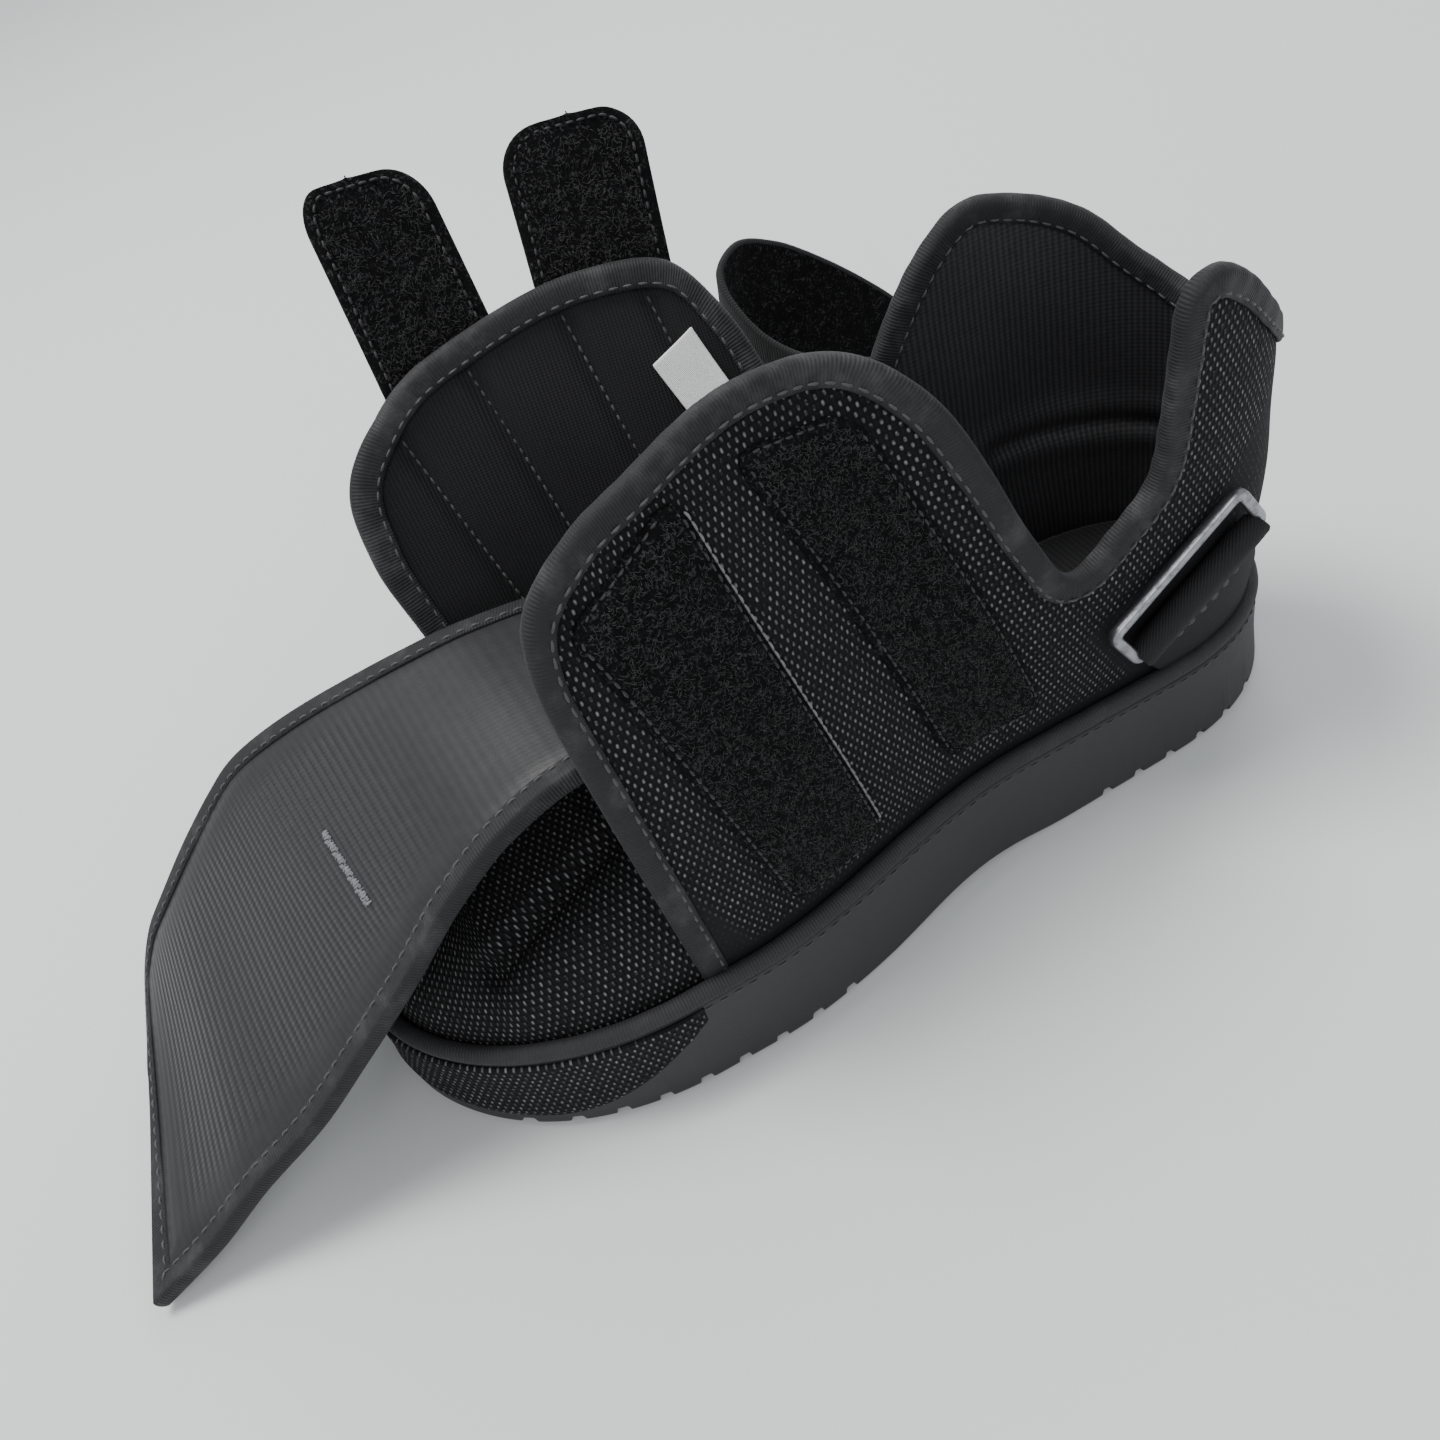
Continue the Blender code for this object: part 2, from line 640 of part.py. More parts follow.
def loop_bands(collection):
    """Two loop-fastener bands sewn on the outer flap's face."""
    for name, strip in BANDS.items():
        girth, height = strip_on_wall(1, strip, BAND_WIDTH, BAND_CORNER, OUTER_FLAP_HEIGHT)
        sheet(name, wall_point(girth, height, GAP), BAND_WALL, True, "loop_fastener", collection)


def instep_straps(collection):
    """Two fastener straps sewn on the inner flap's outer face, standing past its top."""
    clear = BINDING_WALL + 4 * GAP
    for name, strip in STRAPS.items():
        girth, height = strip_on_wall(-1, strip, STRAP_WIDTH, STRAP_CORNER, INNER_FLAP_HEIGHT)
        sheet(name, wall_point(girth, height, clear), STRAP_WALL, True, "loop_fastener", collection)


def size_label(collection):
    """A plain sewn label on the inner flap's lining."""
    station, share = LABEL
    girth = girth_of(station, -1)
    height = wall_top(station, -1, share, INNER_FLAP_HEIGHT)
    tilt = math.radians(LABEL_TILT)
    across = np.array([math.cos(tilt), math.sin(tilt)])
    upward = np.array([-math.sin(tilt), math.cos(tilt)])
    span = np.linspace(0.5, -0.5, 3)[:, None, None] * LABEL_WIDTH * across
    place = span + np.linspace(-0.5, 0.5, 4)[None, :, None] * LABEL_HEIGHT * upward
    points = wall_point(girth + place[..., 0], height + place[..., 1], -UPPER_WALL - GAP)
    return sheet("size_label", points, LABEL_WALL, False, "label_cloth", collection)


def tongue(collection):
    """The padded tongue, sewn at the cap's throat, folded forward over the toe to the floor."""
    rows = curve_through(TONGUE_ROWS, 27, (0, 1))
    tip = TONGUE_WALL + TIP_CLEARANCE
    root = CAP_THROAT * LENGTH - GAP - TONGUE_WALL
    rise = TONGUE_CREST - tip
    share = np.linspace(0.0, 1.0, len(rows))
    width = TONGUE_ROOT_WIDTH + (TONGUE_END_WIDTH - TONGUE_ROOT_WIDTH) * smooth((share - 0.20) / 0.45)
    left = (1 - share) * 1.15 * TONGUE_REACH
    bite = np.clip(TONGUE_CORNER - left, 0, None)
    width = width - (TONGUE_CORNER - np.sqrt(TONGUE_CORNER ** 2 - bite ** 2))
    near = to_world(TONGUE_EDGE, root + rows[:, 0] * TONGUE_REACH, tip + rows[:, 1] * rise)
    far = to_world(TONGUE_EDGE - width, root + rows[:, 2] * TONGUE_REACH, tip + rows[:, 3] * rise)
    spread = np.linspace(0.0, 1.0, 7)[None, :, None]
    points = far[:, None, :] * (1 - spread) + near[:, None, :] * spread
    return sheet("tongue", points, TONGUE_WALL, False, "lining_cloth", collection)


def ankle_strap(collection):
    """The long ankle strap, sewn to the heel's inner side and folded back on itself."""
    rows = np.array(ANKLE_STRAP_ROWS) * (HEEL_WIDTH, LENGTH, WING_HEIGHT, LENGTH, WING_HEIGHT)
    rows = curve_through(rows, 29, (0, 1, 2))
    spread = np.linspace(0.0, 1.0, 7)[None, :]
    station = rows[:, 3:4] * (1 - spread) + rows[:, 1:2] * spread
    height = rows[:, 4:5] * (1 - spread) + rows[:, 2:3] * spread
    ease = GAP * 1.5 + (STRAP_EASE - GAP * 1.5) * smooth(np.linspace(0.0, 4.0, 29))[:, None]
    points = wall_point(girth_of(station / LENGTH, -1), height, ease)
    beyond = rows[:, 0:1] + points[..., 0]
    points[..., 0] -= (beyond + np.hypot(beyond, STRAP_EASE)) / 2
    return sheet("ankle_strap", points, STRAP_WALL, True, "loop_fastener", collection)


def ring_frame():
    """Ends of the ring's inner bar, the direction to its outer bar at rest, and the outward side."""
    roll = RING_WIRE / 2 + RING_CLEARANCE + WEBBING_WALL
    off = WEBBING_EASE + roll + RING_LIFT
    ends = []
    for station, share in (RING_LOW, RING_HIGH):
        ends.append(wall_point(girth_of(station, 1), sole_top(station * LENGTH) + share * WING_HEIGHT, off))
    low, high = (Vector(end.tolist()) for end in ends)
    along = (high - low).normalized()
    middle = (low + high) / 2
    outward = Vector(wall_normal(girth_of((RING_LOW[0] + RING_HIGH[0]) / 2, 1), middle.z).tolist())
    outward = (outward - along * outward.dot(along)).normalized()
    upward = outward.cross(along)
    upward = -upward if upward.z < 0 else upward
    girth, height = np.meshgrid(
        np.linspace(girth_of(RING_HIGH[0], 1) - 10, girth_of(RING_LOW[0], 1) + 10, 80),
        np.linspace(low.z - 10, high.z + RING_DEPTH, 60),
    )
    wall = wall_face(girth, height).reshape(-1, 3)
    bar = np.array(along)[None, :] * np.linspace(-0.5, 0.5, 21)[:, None] * (RING_LENGTH - 2 * RING_CORNER)
    rest = RING_WIRE / 2 + RING_REST_GAP
    for lean in np.radians(np.arange(60.0, -1.0, -1.0)):
        towards = upward * math.cos(lean) - outward * math.sin(lean)
        line = np.array(middle + towards * (RING_DEPTH - RING_WIRE)) + bar
        reach = np.linalg.norm(line[:, None, :] - wall[None, :, :], axis=2)
        nearest = wall[reach.argmin(axis=1)]
        if reach.min() >= rest and ((line - nearest) @ np.array(outward) > 0).all():
            break
    return middle, along, towards, outward


def ring(collection):
    """The rectangular wire ring, leaning on the heel, its inner bar in the webbing's fold."""
    middle, along, towards, _ = ring_frame()
    length, depth = RING_LENGTH - RING_WIRE, RING_DEPTH - RING_WIRE
    points = []
    for end, side, first in ((1, 0, -90), (1, 1, 0), (-1, 1, 90), (-1, 0, 180)):
        corner_x = end * (length / 2 - RING_CORNER)
        corner_y = RING_CORNER if side == 0 else depth - RING_CORNER
        for step in range(4):
            angle = math.radians(first + step * 30)
            points.append(middle + along * (corner_x + RING_CORNER * math.cos(angle))
                          + towards * (corner_y + RING_CORNER * math.sin(angle)))
    return wire("ring", np.array(points), RING_WIRE / 2, 2, True, "ring_metal", collection)


def cylinder(name, centre, axis, radius, length, collection):
    """A round form about an axis, for a cut or a join."""
    mesh = bpy.data.meshes.new(name)
    shape = bmesh.new()
    bmesh.ops.create_cone(shape, cap_ends=True, segments=16, radius1=radius * MM, radius2=radius * MM,
                          depth=length * MM)
    turn = Vector((0, 0, 1)).rotation_difference(axis).to_matrix()
    bmesh.ops.rotate(shape, verts=shape.verts[:], cent=(0, 0, 0), matrix=turn)
    bmesh.ops.translate(shape, verts=shape.verts[:], vec=centre * MM)
    shape.to_mesh(mesh)
    shape.free()
    return new_object(name, mesh, "webbing", collection)


def ring_webbing(collection, forms):
    """Webbing sewn into the sole seam, which rolls over the ring's inner bar."""
    middle, along, _, _ = ring_frame()
    width = RING_LENGTH - 2 * RING_WIRE - 2 * WEBBING_SIDE_PLAY
    roll = RING_WIRE / 2 + RING_CLEARANCE + WEBBING_WALL
    tops = []
    for station, share in (RING_LOW, RING_HIGH):
        tops.append((girth_of(station, 1), sole_top(station * LENGTH) + share * WING_HEIGHT))
    low, high = np.array(tops)
    run = np.linalg.norm(high - low)
    along_wall = (high - low) / run
    down = np.array([along_wall[1], -along_wall[0]])
    down = down if down[1] < 0 else -down
    start = (low + high) / 2
    across = np.linspace(-0.5, 0.5, 9)[:, None] * width
    top = start + across * along_wall
    _, station = edge_point(top[:, 0], 0.0)
    sewn = sole_top(station) + 2 * PIPING_RADIUS + 2 * GAP
    fall = (top[:, 1] - sewn) / -down[1]
    share = np.linspace(1.0, 0.0, 8)
    place = top[:, None, :] + (fall[:, None] * share)[..., None] * down
    off = WEBBING_EASE + (RING_LIFT + WEBBING_WALL / 4) * smooth(1 - share / 0.35)
    points = wall_point(place[..., 0], place[..., 1], off)
    made = sheet("ring_webbing", points, WEBBING_WALL, True, "webbing", collection)
    fold = cylinder("webbing_fold_form", middle, along, roll, width, forms)
    tunnel = cylinder("webbing_tunnel_cutter", middle, along, roll - WEBBING_WALL, width * 2, forms)
    for name, operation, other in (("fold", "UNION", fold), ("tunnel", "DIFFERENCE", tunnel)):
        step = made.modifiers.new(name, "BOOLEAN")
        step.operation = operation
        step.solver = "EXACT"
        step.object = other
    return made


def main():
    for old in list(bpy.data.objects):
        bpy.data.objects.remove(old)
    collection = bpy.data.collections.new("post_operative_shoe")
    forms = bpy.data.collections.new("forms_and_cutters")
    bpy.context.scene.collection.children.link(collection)
    bpy.context.scene.collection.children.link(forms)
    sole(collection)
    insole(collection)
    piping(collection)
    upper(collection, forms)
    binding(collection)
    tongue(collection)
    loop_bands(collection)
    instep_straps(collection)
    size_label(collection)
    ankle_strap(collection)
    ring_webbing(collection, forms)
    ring(collection)
    for form in forms.objects:
        form.hide_render = True
        form.display_type = "WIRE"


main()
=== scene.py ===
"""The post operative shoe, dressed: cloth, tape, thread, foam rubber and wire over the packed solids."""
import json
import math

import bmesh
import bpy
import numpy as np
from bpy.props import FloatProperty, FloatVectorProperty, PointerProperty
from mathutils import Matrix, Vector


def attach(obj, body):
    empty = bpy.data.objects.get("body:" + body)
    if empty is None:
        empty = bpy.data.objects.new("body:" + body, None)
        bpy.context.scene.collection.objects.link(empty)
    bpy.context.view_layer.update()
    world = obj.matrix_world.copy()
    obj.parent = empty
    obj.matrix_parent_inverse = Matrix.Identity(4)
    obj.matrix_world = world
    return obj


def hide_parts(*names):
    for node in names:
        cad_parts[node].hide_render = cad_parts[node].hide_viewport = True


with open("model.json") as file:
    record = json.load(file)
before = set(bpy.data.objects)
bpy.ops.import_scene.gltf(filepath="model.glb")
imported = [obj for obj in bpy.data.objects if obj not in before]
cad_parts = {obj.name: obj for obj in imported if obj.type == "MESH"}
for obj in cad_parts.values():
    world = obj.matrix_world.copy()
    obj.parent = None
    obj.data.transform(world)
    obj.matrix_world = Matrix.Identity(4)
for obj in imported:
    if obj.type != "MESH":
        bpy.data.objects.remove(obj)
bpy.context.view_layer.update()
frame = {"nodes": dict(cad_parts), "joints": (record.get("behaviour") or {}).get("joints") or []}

bl_info = {
    "name": "Post operative shoe",
    "version": (1, 0, 0),
    "blender": (4, 5, 0),
    "location": "3D View > Sidebar > Shoe",
    "description": "Builds the cloth, stitching, sole and fittings of a post operative shoe",
    "category": "Add Mesh",
}

# Lengths in the shapes are millimetres. The shoe stands on its sole at height 0 with its toe
# towards -Y, and stations run forward from the back of the heel, as shares of LENGTH.
MM = 0.001
LENGTH, BALL_WIDTH, HEEL_WIDTH, TOE_SWING = 252.0, 97.0, 71.0, 3.0
SOLE_HEIGHT, WAIST_RISE, SOLE_FLARE, TREAD_DEPTH, TREAD_GROOVE, TREAD_PITCH = 25.0, 2.5, 1.0, 1.8, 3.0, 10.0
HEEL_SEAT, BALL_SEAT = 0.17, 0.742
PIPING_RADIUS, PIPING_PROUD, GAP = 2.1, 0.4, 0.3
UPPER_INSET = 2 * PIPING_RADIUS - PIPING_PROUD + GAP
UPPER_WALL, WING_HEIGHT, OUTER_FLAP_HEIGHT, INNER_FLAP_HEIGHT = 3.0, 107.5, 116.5, 106.0
OUTER_FLAP_LEAN, INNER_FLAP_LEAN, ANKLE_BULGE, BACK_BULGE = 24.0, 38.0, 5.5, 4.2
CAP_WALL, CAP_STEP, CAP_HEIGHT, TOE_HEIGHT, CAP_THROAT, CAP_FAN = 2.5, 0.8, 32.0, 22.0, 0.666, 0.88
TONGUE_WALL, TONGUE_REACH, TONGUE_CREST, TIP_CLEARANCE = 4.5, 161.0, 88.5, 0.8
TONGUE_ROOT_WIDTH, TONGUE_END_WIDTH, TONGUE_CORNER, TONGUE_EDGE = 60.0, 87.0, 18.0, 26.0
BAND_WIDTH, BAND_CORNER = 27.0, 6.0
STRAP_WIDTH, STRAP_WALL, STRAP_CORNER, STRAP_EASE = 31.0, 2.0, 9.0, 1.4
RING_LENGTH, RING_DEPTH, RING_WIRE, RING_CORNER = 44.0, 16.0, 3.0, 2.2
INSOLE_THICKNESS, WEBBING_WALL, WEBBING_SIDE_PLAY, STRAP_CLEAR = 5.0, 1.5, 0.6, 2.3
# The run of the tongue's surface from its root to its end.
TONGUE_RUN = 190.0
TONGUE_GRID = 260, 90

# Lines up the wall: station of the foot, station of the top, and the top's height above the sole as
# a share of WING_HEIGHT or of the flap's height.
OUTER_WING = (
    (0.000, 0.000, 0.620), (0.034, 0.034, 0.730), (0.079, 0.077, 0.840), (0.120, 0.120, 0.950),
    (0.150, 0.153, 1.000), (0.170, 0.176, 0.985), (0.182, 0.187, 0.880), (0.196, 0.195, 0.750),
    (0.216, 0.213, 0.590), (0.251, 0.251, 0.520), (0.297, 0.297, 0.445),
)
OUTER_FLAP = (
    (0.327, 0.329, 0.530), (0.352, 0.358, 0.715), (0.378, 0.385, 0.865), (0.413, 0.416, 0.950),
    (0.484, 0.484, 1.000), (0.605, 0.621, 0.975), (0.666, 0.691, 0.940), (0.707, 0.739, 0.860),
    (0.721, 0.752, 0.755),
)
INNER_WING = (
    (0.034, 0.034, 0.730), (0.077, 0.077, 0.845), (0.146, 0.146, 0.925), (0.190, 0.190, 0.948),
    (0.234, 0.236, 0.885), (0.282, 0.290, 0.700), (0.322, 0.325, 0.540),
)
INNER_FLAP = (
    (0.354, 0.354, 0.530), (0.388, 0.390, 0.660), (0.411, 0.417, 0.845), (0.443, 0.451, 0.955),
    (0.535, 0.535, 1.000), (0.636, 0.646, 0.970), (0.707, 0.732, 0.905), (0.747, 0.780, 0.800),
    (0.762, 0.794, 0.620),
)
# The tongue's ring-side edge and far edge: forward as a share of its reach, up as a share of its rise.
TONGUE_ROWS = (
    (0.000, 0.585, 0.000, 0.585), (-0.022, 0.766, -0.019, 0.766), (0.012, 0.928, 0.004, 0.905),
    (0.087, 1.000, 0.078, 0.970), (0.167, 1.000, 0.174, 0.982), (0.270, 0.942, 0.275, 0.948),
    (0.362, 0.829, 0.390, 0.880), (0.475, 0.633, 0.534, 0.754), (0.587, 0.459, 0.625, 0.635),
    (0.683, 0.321, 0.708, 0.501), (0.792, 0.213, 0.776, 0.375), (0.900, 0.081, 0.835, 0.260),
    (0.993, 0.000, 0.885, 0.150),
)
# The ankle strap: distance from the middle as a share of HEEL_WIDTH, then station and height of its
# upper and its lower edge, heights as shares of WING_HEIGHT above the floor.
ANKLE_STRAP_ROWS = (
    (0.000, 0.065, 0.530, 0.180, 0.305), (0.000, 0.123, 0.694, 0.234, 0.457),
    (0.000, 0.186, 0.840, 0.282, 0.566), (0.470, 0.238, 0.895, 0.310, 0.584),
    (0.650, 0.302, 0.888, 0.332, 0.545), (0.845, 0.344, 0.900, 0.354, 0.550),
    (1.056, 0.367, 0.965, 0.371, 0.615), (1.240, 0.362, 1.030, 0.377, 0.680),
    (1.350, 0.322, 1.045, 0.360, 0.705), (1.400, 0.271, 0.985, 0.332, 0.660),
    (1.425, 0.211, 0.870, 0.292, 0.570), (1.450, 0.147, 0.712, 0.246, 0.450),
    (1.480, 0.084, 0.520, 0.196, 0.280),
)
BANDS = {
    "loop_band_front": ((0.571, 0.085), (0.653, 0.885), -0.40),
    "loop_band_rear": ((0.381, 0.120), (0.480, 0.905), 0.22),
}
STRAPS = {
    "instep_strap_front": ((0.668, 0.400), (0.677, 1.320), 0.10),
    "instep_strap_rear": ((0.540, 0.400), (0.505, 1.290), 0.05),
}
LABEL, LABEL_TILT, LABEL_WIDTH, LABEL_HEIGHT = (0.466, 0.735), 22.0, 13.0, 19.0
RING_LOW, RING_HIGH = (0.246, 0.192), (0.108, 0.408)
# Quilting lines inside the inner flap: station and height above the floor of the two ends.
FLAP_CHANNELS = (
    ((0.730, 116.0), (0.686, 66.0)), ((0.655, 124.0), (0.611, 66.0)),
    ((0.567, 128.0), (0.520, 66.0)), ((0.488, 126.0), (0.446, 74.0)),
)


def smooth(share):
    """Ease from 0 to 1 with level ends."""
    share = np.clip(share, 0.0, 1.0)
    return share * share * (3.0 - 2.0 * share)


def run_along(path):
    """Distance along a path at each of its points."""
    return np.concatenate([[0.0], np.cumsum(np.linalg.norm(np.diff(path, axis=0), axis=1))])


def cloth_uv(along, across):
    """Cloth coordinates in centimetres from lengths in two directions."""
    return np.stack(np.broadcast_arrays(along, across), axis=-1) / 10


def half_width(station):
    """Half the sole's width: heel, waist and ball joined smoothly, rounded off at heel and toe."""
    at = station / LENGTH
    body = (HEEL_WIDTH + (BALL_WIDTH - HEEL_WIDTH) * smooth((at - 0.36) / 0.33)) / 2
    heel = (1 - np.clip((0.188 - at) / 0.188, 0, 1) ** 2.2) ** (1 / 2.2)
    toe = np.sqrt(1 - np.clip((at - 0.745) / 0.255, 0, 1) ** 2)
    return body * heel * toe


def centre_line(station):
    """How far the sole's middle swings to the inner side towards the toe."""
    return -TOE_SWING * smooth((station / LENGTH - 0.55) / 0.45)


def sole_top(station):
    """Height of the sole's top, raised a little at the waist."""
    return SOLE_HEIGHT + WAIST_RISE * np.sin(np.pi * np.clip(station / LENGTH, 0, 1)) ** 2


def sole_bottom(station):
    """Bevelled heel, arch and toe spring."""
    at = station / LENGTH
    bevel = 5.0 * np.clip((0.05 - at) / 0.05, 0, 1) ** 1.5
    arch = 2.5 * np.sin(np.pi * np.clip((at - 0.31) / 0.25, 0, 1)) ** 2
    return bevel + arch + 3.0 * np.clip((at - 0.86) / 0.14, 0, 1) ** 2


def outline_table():
    """The sole's outline from the toe round the far side, the heel and the ring side."""
    way = np.linspace(-1.0, 1.0, 4001)
    station = LENGTH * (1 - np.cos(np.pi * np.abs(way))) / 2
    points = np.stack([centre_line(station) + np.sign(way) * half_width(station), station], axis=1)
    girth = run_along(points)
    girth -= girth[len(way) // 2]
    tangent = np.gradient(points, girth, axis=0)
    normal = np.stack([tangent[:, 1], -tangent[:, 0]], axis=1)
    return girth, points, normal / np.linalg.norm(normal, axis=1, keepdims=True)


GIRTH, OUTLINE, OUTLINE_NORMAL = outline_table()
HALF = len(GIRTH) // 2


def girth_of(station_share, side):
    """Girth of a station on the ring's side (1) or the far side (-1)."""
    stations = OUTLINE[:, 1] / LENGTH
    if side > 0:
        return np.interp(station_share, stations[HALF:], GIRTH[HALF:])
    return np.interp(station_share, stations[HALF::-1], GIRTH[HALF::-1])


def edge_normal(girth):
    """Across and forward parts of the outline's outward direction."""
    return [np.interp(girth, GIRTH, OUTLINE_NORMAL[:, k]) for k in (0, 1)]


def edge_point(girth, inset):
    """Across and station of the sole's outline, moved inwards by inset."""
    across, station = (np.interp(girth, GIRTH, OUTLINE[:, k]) for k in (0, 1))
    out_x, out_s = edge_normal(girth)
    return across - inset * out_x, station - inset * out_s


def to_world(across, station, height):
    """Places across, forward of the heel and above the floor, as points of the frame."""
    across, station, height = np.broadcast_arrays(across, station, height)
    return np.stack([across, HEEL_SEAT * LENGTH - station, height], axis=-1)


def wall_swell(girth, height):
    """How far the upper stands out from its foot: padding round the ankle, lean on the flaps."""
    _, station = edge_point(girth, 0.0)
    above, at = height - sole_top(station), station / LENGTH
    flap = smooth((at - 0.24) / 0.22)
    padding = BACK_BULGE + (ANKLE_BULGE - BACK_BULGE) * smooth(at / 0.16)
    padding = padding * np.sin(np.pi / 2 * np.clip((above - 6) / 45, 0, 1))
    rise = np.clip(above - 10, 0, None)
    outer = -OUTER_FLAP_LEAN * (rise / OUTER_FLAP_HEIGHT) ** 1.8
    inner = INNER_FLAP_LEAN * (rise / INNER_FLAP_HEIGHT) ** 1.3
    return padding * (1 - flap) + np.where(girth > 0, outer, inner) * flap


def wall_face(girth, height):
    """A point of the upper's outer face: the inset outline moved out by the swell."""
    across, station = edge_point(girth, UPPER_INSET)
    swell = wall_swell(girth, height)
    out_x, out_s = edge_normal(girth)
    return to_world(across + out_x * swell, station + out_s * swell, height)


def wall_normal(girth, height):
    """The outer face's outward normal, from differences over two millimetres."""
    along = wall_face(girth + 1.0, height) - wall_face(girth - 1.0, height)
    upward = wall_face(girth, height + 1.0) - wall_face(girth, height - 1.0)
    normal = np.cross(upward, along)
    return normal / np.linalg.norm(normal, axis=-1, keepdims=True)


def wall_point(girth, height, out=0.0):
    """A point at a distance out from the upper's outer face, negative inside its wall."""
    girth, height, out = np.broadcast_arrays(*(np.asarray(a, float) for a in (girth, height, out)))
    return wall_face(girth, height) + out[..., None] * wall_normal(girth, height)


def curve_through(rows, count, measure):
    """A smooth cubic curve through rows, read at count points evenly spaced in some columns."""
    rows = np.asarray(rows, float)
    chord = np.linalg.norm(np.diff(rows[:, measure], axis=0), axis=1)
    knots = np.concatenate([[0.0], np.cumsum(chord)])
    slope = np.diff(rows, axis=0) / chord[:, None]
    tangent = np.empty_like(rows)
    tangent[0], tangent[-1] = slope[0], slope[-1]
    before, after = chord[:-1, None], chord[1:, None]
    tangent[1:-1] = (slope[:-1] * after + slope[1:] * before) / (before + after)

    def read(where):
        k = np.clip(np.searchsorted(knots, where, side="right") - 1, 0, len(chord) - 1)
        step, t = chord[k][:, None], ((where - knots[k]) / chord[k])[:, None]
        return (rows[k] * (1 + 2 * t) * (1 - t) ** 2 + tangent[k] * step * t * (1 - t) ** 2
                + rows[k + 1] * t * t * (3 - 2 * t) - tangent[k + 1] * step * t * t * (1 - t))

    fine_at = np.linspace(0.0, knots[-1], 3000)
    run = run_along(read(fine_at)[:, measure])
    return read(np.interp(np.linspace(0.0, run[-1], count), run, fine_at))


def wall_lines(count):
    """Foot girth, top girth and top height of lines up the wall, from the ring side's front edge."""
    rows = []
    for side, wing, flap, tall in ((1, OUTER_WING, OUTER_FLAP, OUTER_FLAP_HEIGHT),
                                   (-1, INNER_WING, INNER_FLAP, INNER_FLAP_HEIGHT)):
        one = [(girth_of(f, side), girth_of(t, side), sole_top(t * LENGTH) + h * full)
               for table, full in ((wing, WING_HEIGHT), (flap, tall)) for f, t, h in table]
        rows += one[::-1] if side > 0 else one
    return curve_through(rows, count, (1, 2))


def segment_distance(x, y, start, end):
    """Distance from points (x, y) to a straight line between two ends."""
    (ax, ay), (bx, by) = start, end
    length = (bx - ax) ** 2 + (by - ay) ** 2
    t = np.clip(((x - ax) * (bx - ax) + (y - ay) * (by - ay)) / length, 0, 1)
    return np.hypot(x - ax - t * (bx - ax), y - ay - t * (by - ay))


def ripple(a, b, size, seed):
    """Soft uneven swell between -1 and 1: four crossing waves of unlike lengths."""
    rng = np.random.default_rng(seed)
    total = 0.0
    for k in range(4):
        turn, phase = rng.uniform(0, np.pi), rng.uniform(0, 2 * np.pi)
        wave = size * (0.7 + 0.35 * k)
        total = total + np.sin(2 * np.pi * (a * math.cos(turn) + b * math.sin(turn)) / wave + phase)
    return total / 4


def grid_faces(rows, columns, wrap_rows=False, wrap_columns=False, start=0):
    """Vertex numbers of the four-sided faces of a grid, which may close on itself either way."""
    i = np.arange(rows if wrap_rows else rows - 1)[:, None]
    j = np.arange(columns if wrap_columns else columns - 1)[None, :]
    a, b = i * columns + j, ((i + 1) % rows) * columns + j
    c, d = ((i + 1) % rows) * columns + (j + 1) % columns, i * columns + (j + 1) % columns
    return start + np.stack([a, b, c, d], axis=-1).reshape(-1, 4)


def tube_faces(rows, columns, closed=False):
    """Faces of a tube made of rows of one closed section; open ends are closed flat."""
    faces = [list(f) for f in grid_faces(rows, columns, wrap_rows=closed, wrap_columns=True)]
    if not closed:
        faces += [list(range(columns)), list(range((rows - 1) * columns, rows * columns))[::-1]]
    return faces


def read_grids(grids, row, column):
    """Values of several grids of one size at places between their points."""
    r, c = (np.minimum(at.astype(int), size - 2) for at, size in zip((row, column), grids[0].shape))
    fr, fc = row - r, column - c
    if grids[0].ndim > 2:
        fr, fc = fr[:, None], fc[:, None]
    return [g[r, c] * (1 - fr) * (1 - fc) + g[r + 1, c] * fr * (1 - fc) + g[r, c + 1] * (1 - fr) * fc
            + g[r + 1, c + 1] * fr * fc for g in grids]


def mesh_object(name, points, faces, uv=None, material_of_face=None, masks=None):
    """An object at the origin from points in millimetres, its faces turned outwards."""
    mesh = bpy.data.meshes.new(name)
    mesh.from_pydata((points.reshape(-1, 3) * MM).tolist(), [], [list(f) for f in faces])
    if uv is not None:
        layer = mesh.uv_layers.new(name="cloth")
        order = np.empty(len(mesh.loops), int)
        mesh.loops.foreach_get("vertex_index", order)
        layer.data.foreach_set("uv", uv.reshape(-1, 2)[order].astype(np.float32).ravel())
    for title, values in (masks or {}).items():
        layer = mesh.attributes.new(title, "FLOAT", "POINT")
        layer.data.foreach_set("value", np.asarray(values, np.float32).ravel())
    if material_of_face is not None:
        mesh.polygons.foreach_set("material_index", np.asarray(material_of_face, np.int32))
    made = bmesh.new()
    made.from_mesh(mesh)
    bmesh.ops.recalc_face_normals(made, faces=made.faces[:])
    made.to_mesh(mesh)
    made.free()
    mesh.shade_smooth()
    thing = bpy.data.objects.new(name, mesh)
    bpy.context.scene.collection.objects.link(thing)
    return thing


